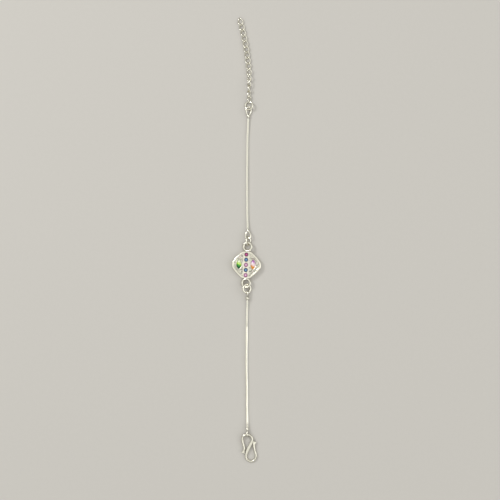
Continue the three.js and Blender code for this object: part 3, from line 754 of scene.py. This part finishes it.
def worked_silver(name, finish, group="bracelet_wire"):
    """Sterling silver of one finish, in the silver colour of a group of settings."""
    silver = getattr(bpy.context.scene, group).silver
    tarnish_and_shade = bpy.context.scene.bracelet_wire.tarnish_and_shade
    return shared_material(name, sterling_silver, tuple(silver), tuple(tarnish_and_shade), finish)


def drawn_silver():
    """Drawn wire, soldered and tumbled: the smoothest silver here, with long clean highlights."""
    return worked_silver("drawn_sterling_silver", SilverFinish(
        smooth=0.1, rough=0.2, patch=1.2, dent=0.012, scratch=0.004, hollow=0.4, film_and_shade=0.25,
        bloom=0.14,
    ))


def hammered_silver():
    """Hammered by hand and often handled: a duller, warmer silver with dents in its shine."""
    return worked_silver("hammered_sterling_silver", SilverFinish(
        smooth=0.13, rough=0.26, patch=0.9, dent=0.03, scratch=0.005, hollow=0.45, film_and_shade=0.45,
        bloom=0.42,
    ))


def cast_silver():
    """Cast and hand-polished: a little softer than wire, with polish that varies over each face."""
    return worked_silver("cast_sterling_silver", SilverFinish(
        smooth=0.12, rough=0.26, patch=0.8, dent=0.05, scratch=0.006, hollow=0.45, film_and_shade=0.6,
        bloom=0.3,
    ))


def chain_silver():
    """Machine-made box chain: flat strips in silver painted lighter as a painted highlight, with so
    little painted darkening that mostly shadow darkens its joints.
    """
    return worked_silver("box_chain_sterling_silver", SilverFinish(
        smooth=0.12, rough=0.2, patch=0.8, dent=0.004, scratch=0.003, hollow=0.2, film_and_shade=0.03,
        bloom=0.04,
    ), group="bracelet_chain")


def cut_synthetic_sapphire(tree, place, edge, lit_middle):
    """Synthetic sapphire, cut and polished, with hard glints: painted shade darkens its rim and
    painted light brightens its table.

    edge is the colour of the rim, darkened as painted shade, and heart the colour of the middle,
    lightened as painted light."""
    radius = ROUND_DIAMETER / 2
    # The distance from the middle drives painted light in the table and painted shade at the rim
    flat = add_node(tree, "VectorMath", operation="MULTIPLY", inputs={
        0: place, 1: (1 / (radius * MM), 1 / (radius * MM), 0),
    })
    reach = add_node(tree, "VectorMath", {0: flat.outputs["Vector"]}, operation="LENGTH")
    # Light that comes back up through the table breaks into patches as wide as a facet
    glow = add_node(tree, "TexVoronoi", {"Vector": place, "Scale": 1 / (0.35 * radius * MM)})
    mixed = add_node(tree, "Math", operation="MULTIPLY_ADD", inputs={
        0: glow.outputs["Distance"], 1: 0.1, 2: reach.outputs["Value"],
    })
    middle = tuple((a + b) / 2 for a, b in zip(edge, lit_middle))
    tone = add_node(
        tree, "ValToRGB", {"Fac": mixed.outputs["Value"]},
        stops=[(0.2, lit_middle), (0.5, middle), (0.8, edge)],
    )
    return add_node(tree, "BsdfPrincipled", {
        "Base Color": tone.outputs["Color"], "Roughness": 0.03, "IOR": 1.77,
        "Transmission Weight": 0.2,
    })


def coated_crystal_glass(tree, place, stops):
    """Cut crystal glass with a thin fired coating: its colour drifts from one point to the other,
    and some stops are painted highlights.

    stops are the colours from the lower point up, each with its place as a share of the length."""
    slant = add_node(tree, "VectorMath", operation="DOT_PRODUCT", inputs={
        0: place, 1: (0.45, 1, 0),
    })
    height = add_node(tree, "MapRange", {
        "Value": slant.outputs["Value"], "From Min": -MARQUISE_LENGTH / 2 * MM,
        "From Max": MARQUISE_LENGTH / 2 * MM,
    })
    # Facets are about 0.6 mm wide, and each throws the colour a little further up
    facets = add_node(tree, "TexVoronoi", {"Vector": place, "Scale": 1 / (0.6 * MM)})
    shift = add_node(tree, "SeparateColor", {"Color": facets.outputs["Color"]})
    shifted = add_node(tree, "Math", operation="MULTIPLY_ADD", inputs={
        0: shift.outputs["Red"], 1: 0.14, 2: height.outputs["Result"],
    })
    tone = add_node(tree, "ValToRGB", {"Fac": shifted.outputs["Value"]}, stops)
    return add_node(tree, "BsdfPrincipled", {
        "Base Color": tone.outputs["Color"], "Roughness": 0.03, "IOR": 1.58,
        "Transmission Weight": 0.15,
    })


def cut_cubic_zirconia(tree, place, clear, painted_green_fire, painted_pink_fire, dark):
    """Small clear cubic zirconia: near white, each with painted fire in green and pink, painted
    shade on dark facets, and its own painted light.
    """
    # Painted sparks of fire and painted dark facets are a third of a stone wide
    fire = add_node(tree, "TexVoronoi", {
        "Vector": place, "Scale": 1 / (SMALL_STONE_DIAMETER / 3 * MM),
    })
    spark = add_node(tree, "SeparateColor", {"Color": fire.outputs["Color"]})
    tone = add_node(
        tree, "ValToRGB", {"Fac": spark.outputs["Green"]},
        stops=[(0.0, dark), (0.2, dark), (0.28, clear), (0.52, clear), (0.6, painted_green_fire),
               (0.74, clear), (0.84, painted_pink_fire), (0.95, clear)],
    )
    # Painted light and shade: each stone's colour is scaled by its own level, as if stones tip a
    # little in their seats, so that one looks bright and the next one grey
    tip = add_node(tree, "TexVoronoi", {
        "Vector": place, "Scale": 1 / (SMALL_STONE_DIAMETER * MM),
    })
    stone = add_node(tree, "SeparateColor", {"Color": tip.outputs["Color"]})
    level = add_node(tree, "MapRange", {
        "Value": stone.outputs["Red"], "From Min": 0.1, "From Max": 0.8,
        "To Min": 0.38, "To Max": 1.0,
    })
    painted_stone_light = add_node(tree, "Mix", data_type="RGBA", blend_type="MULTIPLY", inputs={
        "Factor": 1.0, "A": tone.outputs["Color"], "B": level.outputs["Result"],
    })
    return add_node(tree, "BsdfPrincipled", {
        "Base Color": painted_stone_light.outputs["Result"], "Roughness": 0.04, "IOR": 2.16,
        "Transmission Weight": 0.1,
    })


def matt_paper(tree, place, pale):
    """Matt studio paper: an even pale tone with the faintest tooth."""
    # Its tooth is a tenth of a millimetre wide. It is drawn 1.5 mm wide, to show.
    tooth = add_node(tree, "TexNoise", {"Vector": place, "Scale": 1 / (1.5 * MM), "Detail": 3.0})
    darker = tuple(c * 0.97 for c in pale)
    tone = add_node(tree, "Mix", data_type="RGBA", inputs={
        "Factor": tooth.outputs["Fac"], "A": (*pale, 1), "B": (*darker, 1),
    })
    return add_node(tree, "BsdfPrincipled", {
        "Base Color": tone.outputs["Result"], "Roughness": 0.9, "Specular IOR Level": 0.2,
    })


# Outlines of the charm


def charm_corners(inset):
    """The corners of the charm's outline, anticlockwise, moved in by inset."""
    w, h = CHARM_WIDTH / 2, CHARM_HEIGHT / 2
    tip, side = CHARM_TIP_FLAT / 2, CHARM_SIDE_FLAT / 2
    bulge = CHARM_EDGE_BULGE * math.sqrt(0.5)
    quarter = [(w, side), ((w + tip) / 2 + bulge, (h + side) / 2 + bulge), (tip, h)]
    upper = quarter + [(-x, y) for x, y in reversed(quarter)]
    corners = [Vector(p) for p in upper + [(-x, -y) for x, y in upper]]
    made = []
    for i, corner in enumerate(corners):
        n1 = (corner - corners[i - 1]).normalized()
        n2 = (corners[(i + 1) % len(corners)] - corner).normalized()
        inward = (Vector((-n1.y, n1.x)) + Vector((-n2.y, n2.x))).normalized()
        made.append(corner + inward * (inset / math.cos(n1.angle(n2) / 2)))
    return made


def rounded(corners, reach, steps):
    """A polygon with each corner made a short curve."""
    points = []
    for i, corner in enumerate(corners):
        before, after = corners[i - 1], corners[(i + 1) % len(corners)]
        near = min(reach, 0.4 * (corner - before).length, 0.4 * (corner - after).length)
        start = corner.lerp(before, near / (corner - before).length)
        end = corner.lerp(after, near / (corner - after).length)
        for k in range(steps + 1):
            t = k / steps
            points.append(start.lerp(corner, t).lerp(corner.lerp(end, t), t))
    return points


def field_outline(side):
    """The outline of one side field, anticlockwise, between the band and the rim."""
    limit = BAND_OFFSET + side * (BAND_WIDTH / 2 + FIELD_CLEARANCE)
    corners = charm_corners(RIM_WIDTH + FIELD_CLEARANCE)
    kept = []
    for i, corner in enumerate(corners):
        after = corners[(i + 1) % len(corners)]
        here, there = side * (corner.x - limit), side * (after.x - limit)
        if here > 0:
            kept.append(corner)
        if (here > 0) != (there > 0):
            kept.append(corner.lerp(after, here / (here - there)))
    return rounded(kept, FIELD_CORNER, steps=5)


def marquise_arcs(grow):
    """Half width, half length and radius of the two arcs round a marquise."""
    w, h = MARQUISE_WIDTH / 2 + grow, MARQUISE_LENGTH / 2 + grow
    return w, h, (w * w + h * h) / (2 * w)


def marquise_outline(grow, count):
    """Two arcs that meet in a point at each end, anticlockwise from +X."""
    w, h, radius = marquise_arcs(grow)
    reach = math.asin(h / radius)
    points = []
    for i in range(count):
        quarters = 4 * i / count
        if quarters <= 1:
            side, a = 1, reach * quarters
        elif quarters <= 3:
            side, a = -1, reach * (2 - quarters)
        else:
            side, a = 1, reach * (quarters - 4)
        points.append(Vector((side * (radius * math.cos(a) - radius + w), radius * math.sin(a))))
    return points


def marquise_x(side):
    return BAND_OFFSET + side * MARQUISE_ACROSS


def round_stone_y(index):
    return ROUND_PITCH * ((ROUND_COUNT - 1) / 2 - index)


def put_on_charm(piece, x=0.0, y=0.0, z=0.0):
    """Turns a piece's mesh with the charm and puts it at a place on the charm."""
    turn = Matrix.Rotation(math.radians(CHARM_TURN), 4, "Z")
    piece.data.transform(turn)
    piece.location = turn @ Vector((x * MM, y * MM, z * MM))


# Operators


class BRACELET_OT_charm_body(bpy.types.Operator):
    """Build the cast charm with its rim, band, collars, beads and soldered rings"""

    bl_idname = "bracelet.charm_body"
    bl_label = "Charm Body"

    def execute(self, context):
        wire, charm = context.scene.bracelet_wire, context.scene.bracelet_charm
        shells = [*self.rails(), *self.band_beads(charm.band_bead / MM / 2)]
        seats = [self.round_seat(i) for i in range(ROUND_COUNT)]
        shells += [cut_shell(solid, seats) for solid in (self.band_slab(), self.body())]
        shells += [self.collar(side) for side in (-1, 1)]
        for end in (-1, 1):
            shells += self.soldered_ring(wire, end)
        piece = make_piece("charm_body", shells, [cast_silver()])
        put_on_charm(piece)
        hand_over(piece, "silver", "charm_plate")
        return {"FINISHED"}

    def body(self):
        """The plate with its domed rim, down to the floor of the side fields."""
        return loft([
            flat_ring(rounded(charm_corners(inset), CHARM_CORNER, steps=6), z)
            for inset, z in RIM_PROFILE
        ])

    def band_slab(self):
        w, h = BAND_WIDTH / 2 - BAND_INSET, BAND_HALF_LENGTH
        corners = [Vector(p) for p in ((w, -h), (w, h), (-w, h), (-w, -h))]
        outline = [p + Vector((BAND_OFFSET, 0)) for p in corners]
        return loft([flat_ring(outline, SETTING_FLOOR), flat_ring(outline, BAND_TOP)])

    def round_seat(self, index):
        y = round_stone_y(index)
        return loft([
            [Vector((BAND_OFFSET + a, y + b, z)) for a, b in outline_circle(radius, SEAT_SIDES)]
            for radius, z in SEAT_PROFILE
        ])

    def rails(self):
        """The two thin walls along the band."""
        half = COLLAR_WALL / 2
        shells = []
        for side in (-1, 1):
            x = BAND_OFFSET + side * (BAND_WIDTH / 2 - half)
            shells.append(loft([
                [Vector((x + half * u, y, z)) for u, z in RAIL_PROFILE]
                for y in (-BAND_HALF_LENGTH, BAND_HALF_LENGTH)
            ]))
        return shells

    def band_beads(self, radius):
        """Pairs of beads between the round stones."""
        shells = []
        for i in range(ROUND_COUNT - 1):
            y = round_stone_y(i) - ROUND_PITCH / 2
            for side in (-1, 1):
                centre = (BAND_OFFSET + side * BAND_BEAD_ASIDE, y, BAND_TOP + BAND_BEAD_RISE)
                shells.append(ball(centre, (radius, radius, radius * 0.9)))
        return shells

    def collar(self, side):
        """The thin wall round one marquise."""
        at = Matrix.Translation((marquise_x(side), MARQUISE_ALONG, 0))
        rings = [flat_ring(marquise_outline(grow, MARQUISE_SIDES), z) for grow, z in COLLAR_PROFILE]
        return moved(loft(rings, capped=False), at)

    def soldered_ring(self, wire, end):
        section = outline_circle(CHARM_RING_WIRE / 2, wire.sides)
        path = oval(CHARM_RING_RADIUS, CHARM_RING_RADIUS, 0, wire.steps)
        turn = turn_matrix(CHARM_RING_LEAN)
        centre = Matrix.Translation((CHARM_RING_ASIDE, end * CHARM_RING_ALONG, CHARM_RING_HEIGHT))
        joint = Matrix.Translation((CHARM_RING_ASIDE, end * CHARM_HEIGHT / 2, CHARM_RING_HEIGHT))
        ring = moved(tube(path, [section] * len(path)), centre @ turn)
        return [ring, moved(ball((0, 0, 0), SOLDER_SIZE, rows=10, sides=20), joint @ turn)]


class BRACELET_OT_round_stones(bpy.types.Operator):
    """Build the row of round stones down the charm's band"""

    bl_idname = "bracelet.round_stones"
    bl_label = "Round Stones"

    def execute(self, context):
        charm, stones = context.scene.bracelet_charm, context.scene.bracelet_stones
        magenta = ("magenta_stone", stones.magenta_shaded_rim, stones.magenta_lit_middle)
        blue = ("blue_stone", stones.blue_shaded_rim, stones.blue_lit_middle)
        pink = ("pink_stone", stones.pink_shaded_rim, stones.pink_lit_middle)
        shell = cut_stone(outline_circle(ROUND_DIAMETER / 2, 16), ROUND_DIAMETER, charm)
        for index, (slot, edge, lit_middle) in enumerate((magenta, blue, pink, blue, pink)):
            material = shared_material(
                f"cut_sapphire_{slot}", cut_synthetic_sapphire, tuple(edge), tuple(lit_middle)
            )
            piece = make_piece(f"{slot}_{index + 1}", [shell], [material], sharp=1)
            put_on_charm(piece, BAND_OFFSET, round_stone_y(index), BAND_TOP)
            hand_over(piece, slot, f"round_stone_{index + 1}")
        return {"FINISHED"}


class BRACELET_OT_marquise_stones(bpy.types.Operator):
    """Build the two marquise stones, each in its collar"""

    bl_idname = "bracelet.marquise_stones"
    bl_label = "Marquise Stones"

    def execute(self, context):
        charm, stones = context.scene.bracelet_charm, context.scene.bracelet_stones
        green = (
            (0.24, stones.emerald), (0.42, stones.grass), (0.58, stones.lime), (0.98, stones.glint),
        )
        # The blush stops in the middle of this stone are a painted highlight, and the green stone's
        # glint a painted reflection
        sunset = (
            (0.3, stones.orange), (0.52, stones.painted_highlight_pink), (0.68, stones.painted_highlight_pink), (0.98, stones.violet),
        )
        shell = cut_stone(marquise_outline(0, 16), MARQUISE_WIDTH, charm)
        for node, slot, side, tints in (
            ("marquise_left", "green_stone", -1, green),
            ("marquise_right", "orange_violet_stone", 1, sunset),
        ):
            stops = [(position, tuple(tint)) for position, tint in tints]
            material = shared_material(f"coated_glass_{slot}", coated_crystal_glass, stops)
            piece = make_piece(f"{slot}_marquise", [shell], [material], sharp=1)
            put_on_charm(piece, marquise_x(side), MARQUISE_ALONG, COLLAR_TOP)
            hand_over(piece, slot, node)
        return {"FINISHED"}


class BRACELET_OT_pave_fields(bpy.types.Operator):
    """Build the two side fields of small clear stones held by beads"""

    bl_idname = "bracelet.pave_fields"
    bl_label = "Fields of Small Stones"

    def execute(self, context):
        charm, stones = context.scene.bracelet_charm, context.scene.bracelet_stones
        clear = shared_material(
            "cut_cubic_zirconia", cut_cubic_zirconia, tuple(stones.clear), tuple(stones.painted_green_fire),
            tuple(stones.painted_pink_fire), tuple(stones.shade),
        )
        for side, node in ((-1, "pave_left"), (1, "pave_right")):
            outline = field_outline(side)
            spots = self.stone_spots(side, outline)
            shells = [self.plate(side, outline)]
            shells += [self.small_stone(x, y, diameter, charm) for x, y, diameter in spots]
            shells += self.beads(side, spots, outline, charm.field_bead / MM / 2)
            piece = make_piece(f"{node}_stones", shells, [cast_silver(), clear], sharp=20)
            put_on_charm(piece)
            hand_over(piece, "clear_stones_in_silver", node)
        return {"FINISHED"}

    def plate(self, side, outline):
        """The thin plate under the stones, with a hole for the marquise and its collar."""
        low = FIELD_FLOOR + FIELD_CLEARANCE
        edge = marquise_outline(FIELD_HOLE, MARQUISE_SIDES)
        hole = loft([flat_ring(edge, z) for z in HOLE_SPAN])
        at = Matrix.Translation((marquise_x(side), MARQUISE_ALONG, 0))
        return cut_shell(loft([flat_ring(outline, z) for z in (low, FIELD_TOP)]), [moved(hole, at)])

    def stone_spots(self, side, outline):
        """Place and diameter of the CAD's small stones, and of smaller ones where there is room."""
        band_edge = BAND_OFFSET + side * BAND_WIDTH / 2
        rim_edge = side * (CHARM_WIDTH / 2 - RIM_WIDTH)
        reach = CHARM_HEIGHT / 2 - RIM_WIDTH
        rows = SMALL_STONES + [(a, -b, c) for a, b, c in SMALL_STONES] + [SIDE_STONE]
        spots = []
        for across, along, part in rows:
            x = band_edge + (rim_edge - band_edge) * across
            spots.append((x, along * reach, part * SMALL_STONE_DIAMETER))
        spots = [s for s in spots if self.collar_distance(side, s[0], s[1]) > COLLAR_NEAR * s[2]]
        places = []
        for column in range(GRID_COUNT):
            for row in range(-GRID_COUNT, GRID_COUNT + 1):
                spot = Vector((band_edge + side * column * GRID_STEP, row * GRID_STEP))
                free = min(self.room(spot, outline), self.collar_distance(side, *spot))
                if free > FILLER_ROOM:
                    places.append((spot, free))
        for diameter in FILLER_DIAMETERS:
            for spot, free in places:
                if free > diameter / 2 and self.is_clear(spot, spots, diameter / 2):
                    spots.append((spot.x, spot.y, diameter))
        return spots

    def is_clear(self, spot, spots, reach):
        """Whether a spot is further than reach from the edge of every stone."""
        return all(math.hypot(spot.x - x, spot.y - y) > d / 2 + reach for x, y, d in spots)

    def collar_distance(self, side, x, y):
        """How far a point lies outside the marquise's collar, below 0 inside it."""
        w, _, radius = marquise_arcs(FIELD_HOLE)
        across, along = abs(x - marquise_x(side)), y - MARQUISE_ALONG
        return math.hypot(across + radius - w, along) - radius

    def room(self, spot, outline):
        """How far a spot lies inside an anticlockwise convex outline, below 0 outside it."""
        edges = zip(outline, outline[1:] + outline[:1])
        return min((b - a).cross(spot - a) / (b - a).length for a, b in edges)

    def small_stone(self, x, y, diameter, charm):
        stone = cut_stone(outline_circle(diameter / 2, 16), diameter, charm, material=1)
        return moved(stone, Matrix.Translation((x, y, FIELD_TOP + SMALL_STONE_RISE)))

    def beads(self, side, spots, outline, radius):
        """Beads in the corners between the stones, where there is room for one."""
        placed = []
        for x, y, diameter in spots:
            for k in range(BEADS_ROUND_STONE):
                a = math.tau * (k + 0.5) / BEADS_ROUND_STONE
                reach = diameter / 2 + BEAD_REACH * radius
                spot = Vector((x + reach * math.cos(a), y + reach * math.sin(a)))
                free = min(self.room(spot, outline), self.collar_distance(side, *spot))
                apart = all((spot - p).length > BEAD_TO_BEAD * radius for p in placed)
                if free > radius and apart and self.is_clear(spot, spots, BEAD_TO_STONE * radius):
                    placed.append(spot)
        height = FIELD_TOP + FIELD_BEAD_RISE
        return [ball((p.x, p.y, height), (radius, radius, radius), rows=5, sides=8) for p in placed]


class BRACELET_OT_jump_rings(bpy.types.Operator):
    """Build the two jump rings and the small link from round wire"""

    bl_idname = "bracelet.jump_rings"
    bl_label = "Jump Rings"

    def execute(self, context):
        wire = context.scene.bracelet_wire
        for node, ring in RINGS.items():
            path = oval(ring.half_width, ring.half_length, 0, wire.steps)
            # The wire is a little thinner at its first point, in the soldered seam
            seam = outline_circle(ring.wire / 2 - wire.seam_width / MM / 2, wire.sides)
            full = outline_circle(ring.wire / 2, wire.sides)
            shell = moved(tube(path, [seam] + [full] * (len(path) - 1)), turn_matrix(ring.lean))
            wire_piece(f"{node}_wire", node, [shell], drawn_silver())
        return {"FINISHED"}


class BRACELET_OT_chain_loops(bpy.types.Operator):
    """Build the wire loops and collars at the ends of the box chains"""

    bl_idname = "bracelet.chain_loops"
    bl_label = "Chain Loops"

    def execute(self, context):
        wire = context.scene.bracelet_wire
        for node, loop in LOOPS.items():
            section = outline_circle(loop.wire / 2, wire.sides)
            path = oval(loop.half_width, loop.half_length, LOOP_TAPER, wire.steps)
            start, radius = loop.half_length - loop.wire / 2, loop.collar / 2
            profile = [(start + a * BARREL_LENGTH, r * radius) for a, r in BARREL_PROFILE]
            matrix = turn_matrix(*loop.turn)
            parts = (tube(path, [section] * len(path)), turned_round(profile, BARREL_SIDES))
            shells = [moved(part, matrix) for part in parts]
            wire_piece(f"{node}_wire", node, shells, drawn_silver())
        return {"FINISHED"}


class BRACELET_OT_box_chains(bpy.types.Operator):
    """Build both box chains link by link along the CAD's chains"""

    bl_idname = "bracelet.box_chains"
    bl_label = "Box Chains"

    def execute(self, context):
        chain = context.scene.bracelet_chain
        for node, rolls in CHAIN_ROLLS.items():
            path = middle_line(node)
            lengths = [0.0]
            for here, there in zip(path, path[1:]):
                lengths.append(lengths[-1] + (there - here).length)
            gauge = chain.gauge / MM
            total = lengths[-1]
            count = round((total - 2 * gauge) / (chain.pitch / MM))
            pitch = (total - 2 * gauge) / count
            link, solder = self.link(chain, pitch), self.solder(pitch)
            shells = []
            for i in range(count):
                place = gauge + pitch * (i + 0.5)
                roll = value_at(rolls, place / total) + 90 * (i % 2)
                spot = self.spot(path, lengths, place, roll)
                # A link that would dip into the floor is lifted onto it
                dip = min(0, *((spot @ p).z for p in link[0]))
                spot = Matrix.Translation((0, 0, -dip)) @ spot
                shells.append(moved(link, spot))
                if i in (0, count - 1):
                    shells.append(moved(solder, spot))
            piece = make_piece(f"{node}_links", shells, [chain_silver()], sharp=40)
            hand_over(piece, "silver", node)
        return {"FINISHED"}

    def link(self, chain, pitch):
        """One box link: a flat strip bent round into a square, lying along +Y."""
        gauge, strip = chain.gauge / MM, chain.strip / MM
        x = (chain.width / MM - gauge) / 2
        y = (pitch + gauge) / 2
        corners = [Vector(p) for p in ((x, -y), (x, y), (-x, y), (-x, -y))]
        path = flat_ring(rounded(corners, LINK_BEND, steps=2), 0)
        return tube(path, [outline_strip(gauge, strip, STRIP_BEVEL)] * len(path))

    def solder(self, pitch):
        """The solder that fills a chain's last link, next to the collar."""
        reach = SOLDER_REACH * pitch
        profile = [(part * reach, radius) for part, radius in SOLDER_PROFILE]
        return turned_round(profile, sides=12)

    def spot(self, path, lengths, place, roll):
        """The matrix that puts a link on the path and rolls it about its length."""
        i = max(k for k, length in enumerate(lengths[:-1]) if length <= place)
        t = (place - lengths[i]) / (lengths[i + 1] - lengths[i])
        centre = path[i].lerp(path[i + 1], t)
        along = (path[i + 1] - path[i]).normalized()
        across = along.cross(UP).normalized()
        axes = Matrix((across, along, across.cross(along))).transposed().to_4x4()
        return Matrix.Translation(centre) @ axes @ Matrix.Rotation(math.radians(roll), 4, "Y")


class BRACELET_OT_extender(bpy.types.Operator):
    """Build the extender's curb links from round wire"""

    bl_idname = "bracelet.extender"
    bl_label = "Extender"

    def execute(self, context):
        wire = context.scene.bracelet_wire
        nodes = [f"extender_link_{i + 1:02d}" for i in range(CURB_COUNT)]
        centres = [sum(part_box(n), Vector()) / 2 for n in nodes]
        section = outline_circle(CURB_WIRE / 2, wire.sides)
        path = curb_oval(wire.steps)
        shell = tube(path, [section] * len(path))
        for i, node in enumerate(nodes):
            ahead = centres[min(i + 1, CURB_COUNT - 1)] - centres[max(i - 1, 0)]
            yaw = math.degrees(math.atan2(-ahead.x, ahead.y))
            lean = CURB_LEANS[min(i, len(CURB_LEANS) - 1)]
            turned = moved(shell, turn_matrix(lean, 0, yaw))
            wire_piece(f"curb_link_{i + 1:02d}", node, [turned], drawn_silver())
        return {"FINISHED"}


class BRACELET_OT_s_hook(bpy.types.Operator):
    """Build the S-hook with its flattened middle and flared tails"""

    bl_idname = "bracelet.s_hook"
    bl_label = "S-Hook"

    def execute(self, context):
        wire = context.scene.bracelet_wire
        rows = smooth_rows(HOOK_SECTIONS, HOOK_STEPS)
        path = [Vector((x * HOOK_WIDTH, -y * HOOK_LENGTH, 0)) for x, y, _, _ in rows]
        sides = wire.sides + HOOK_MORE_SIDES
        sections = [self.hammered(wide, thick, sides) for _, _, wide, thick in rows]
        first = self.tail(path[0], path[1], sections[0])
        last = self.tail(path[-1], path[-2], sections[-1])
        steps = [*first, *zip(path, sections), *reversed(last)]
        shell = tube([p for p, _ in steps], [outline for _, outline in steps], closed=False)
        low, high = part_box("s_hook")
        rise = (high.z - low.z) / MM - HOOK_WIRE
        tilt = Matrix.Rotation(math.asin(rise / HOOK_LENGTH), 4, "X")
        wire_piece("s_hook_wire", "s_hook", [moved(shell, tilt)], hammered_silver())
        return {"FINISHED"}

    def hammered(self, wide, thick, sides):
        """The wire's outline, which gets flat faces where the wire is hammered wider."""
        # From 2, which is round, to 5, nearly square, at 1.3 times the wire's width
        squareness = 2 + 3 * min(max(wide - 1, 0) / 0.3, 1)
        outline = []
        for x, y in outline_circle(1, sides):
            u = math.copysign(abs(x) ** (2 / squareness), x)
            v = math.copysign(abs(y) ** (2 / squareness), y)
            outline.append((u * wide * HOOK_WIRE / 2, v * thick * HOOK_WIRE / 2))
        return outline

    def tail(self, end, inner, section):
        """Points and outlines that ease one end into a blunt edge, the outermost first."""
        out = (end - inner).normalized()
        return [(end + out * reach, [(u * s, v * s) for u, v in section]) for reach, s in HOOK_TAIL]


class BRACELET_OT_stage(bpy.types.Operator):
    """Build the pale floor, the soft lights and the camera"""

    bl_idname = "bracelet.stage"
    bl_label = "Stage"

    def execute(self, context):
        stage = context.scene.bracelet_stage
        self.floor(stage)
        self.world(context)
        self.light(context, "fill_softbox", *FILL_BOX, stage.fill)
        self.light(context, "side_softbox", *SIDE_BOX, stage.side)
        camera = bpy.data.objects.new("camera", bpy.data.cameras.new("camera"))
        camera.data.lens = CAMERA_LENS
        camera.data.sensor_width = CAMERA_SENSOR
        camera.data.clip_start = 0.01
        camera.data.clip_end = 10
        camera.location = (*CAMERA_PLACE, stage.camera_height)
        context.scene.collection.objects.link(camera)
        context.scene.camera = camera
        context.scene.view_settings.view_transform = "Standard"
        return {"FINISHED"}

    def floor(self, stage):
        r = FLOOR_HALF
        corners = [Vector(p) for p in ((r, -r), (r, r), (-r, r), (-r, -r))]
        shell = loft([flat_ring(corners, -FLOOR_DEPTH), flat_ring(corners, 0)])
        paper = shared_material("matt_studio_paper", matt_paper, tuple(stage.floor))
        make_piece("floor", [shell], [paper])

    def light(self, context, name, place, diameter, watts):
        """A round softbox that faces the charm."""
        data = bpy.data.lights.new(name, "AREA")
        data.shape = "DISK"
        data.size = diameter
        data.energy = watts
        lamp = bpy.data.objects.new(name, data)
        lamp.location = place
        lamp.rotation_euler = (-Vector(place)).to_track_quat("-Z", "Y").to_euler()
        context.scene.collection.objects.link(lamp)

    def world(self, context):
        """A soft studio sky, darker near the horizon so that the silver's sides read."""
        world = bpy.data.worlds.new("studio")
        context.scene.world = world
        world.use_nodes = True
        tree = world.node_tree
        tree.nodes.clear()
        way = add_node(tree, "TexCoord").outputs["Generated"]
        height = add_node(tree, "SeparateXYZ", {"Vector": way})
        tints = [(0.0, "#1E1F22"), (0.15, "#3A3B3E"), (0.35, "#9C9C9A"), (0.55, "#D2D1CD"),
                 (1.0, "#FFFFFA")]
        shade = add_node(
            tree, "ValToRGB", {"Fac": height.outputs["Z"]},
            stops=[(position, linear(tint)) for position, tint in tints],
        )
        # The tent's cloth is lit a little unevenly, which gives polished metal its life
        cloth = add_node(tree, "TexNoise", {"Vector": way, "Scale": 2.5, "Detail": 0.0})
        level = add_node(tree, "MapRange", {
            "Value": cloth.outputs["Fac"], "From Min": 0.35, "From Max": 0.65,
            "To Min": 0.92, "To Max": 1.25,
        })
        glow = add_node(tree, "Background", {
            "Color": shade.outputs["Color"], "Strength": level.outputs["Result"],
        })
        add_node(tree, "OutputWorld", {"Surface": glow.outputs["Background"]})


class BRACELET_PT_pieces(bpy.types.Panel):
    """Lists the bracelet's settings and pieces"""

    bl_label = "Silver Bracelet"
    bl_idname = "BRACELET_PT_pieces"
    bl_space_type = "VIEW_3D"
    bl_region_type = "UI"
    bl_category = "Bracelet"

    def draw(self, context):
        for group in SETTINGS:
            box = self.layout.box()
            settings = getattr(context.scene, group)
            for name in settings.bl_rna.properties.keys():
                if name not in ("rna_type", "name"):
                    box.prop(settings, name)
        for operator in OPERATORS:
            self.layout.operator(operator.bl_idname)


SETTINGS = {
    "bracelet_wire": BraceletWireSettings,
    "bracelet_chain": BraceletChainSettings,
    "bracelet_charm": BraceletCharmSettings,
    "bracelet_stones": BraceletStoneSettings,
    "bracelet_stage": BraceletStageSettings,
}
OPERATORS = (
    BRACELET_OT_charm_body,
    BRACELET_OT_round_stones,
    BRACELET_OT_marquise_stones,
    BRACELET_OT_pave_fields,
    BRACELET_OT_jump_rings,
    BRACELET_OT_chain_loops,
    BRACELET_OT_box_chains,
    BRACELET_OT_extender,
    BRACELET_OT_s_hook,
    BRACELET_OT_stage,
)


def register():
    for group, settings in SETTINGS.items():
        bpy.utils.register_class(settings)
        setattr(bpy.types.Scene, group, PointerProperty(type=settings))
    for cls in (*OPERATORS, BRACELET_PT_pieces):
        bpy.utils.register_class(cls)


def unregister():
    for cls in (BRACELET_PT_pieces, *reversed(OPERATORS)):
        bpy.utils.unregister_class(cls)
    for group, settings in reversed(SETTINGS.items()):
        delattr(bpy.types.Scene, group)
        bpy.utils.unregister_class(settings)


def main():
    register()
    bpy.ops.bracelet.charm_body()
    bpy.ops.bracelet.round_stones()
    bpy.ops.bracelet.marquise_stones()
    bpy.ops.bracelet.pave_fields()
    bpy.ops.bracelet.jump_rings()
    bpy.ops.bracelet.chain_loops()
    bpy.ops.bracelet.box_chains()
    bpy.ops.bracelet.extender()
    bpy.ops.bracelet.s_hook()
    bpy.ops.bracelet.stage()
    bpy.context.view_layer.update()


if __name__ == "__main__":
    main()
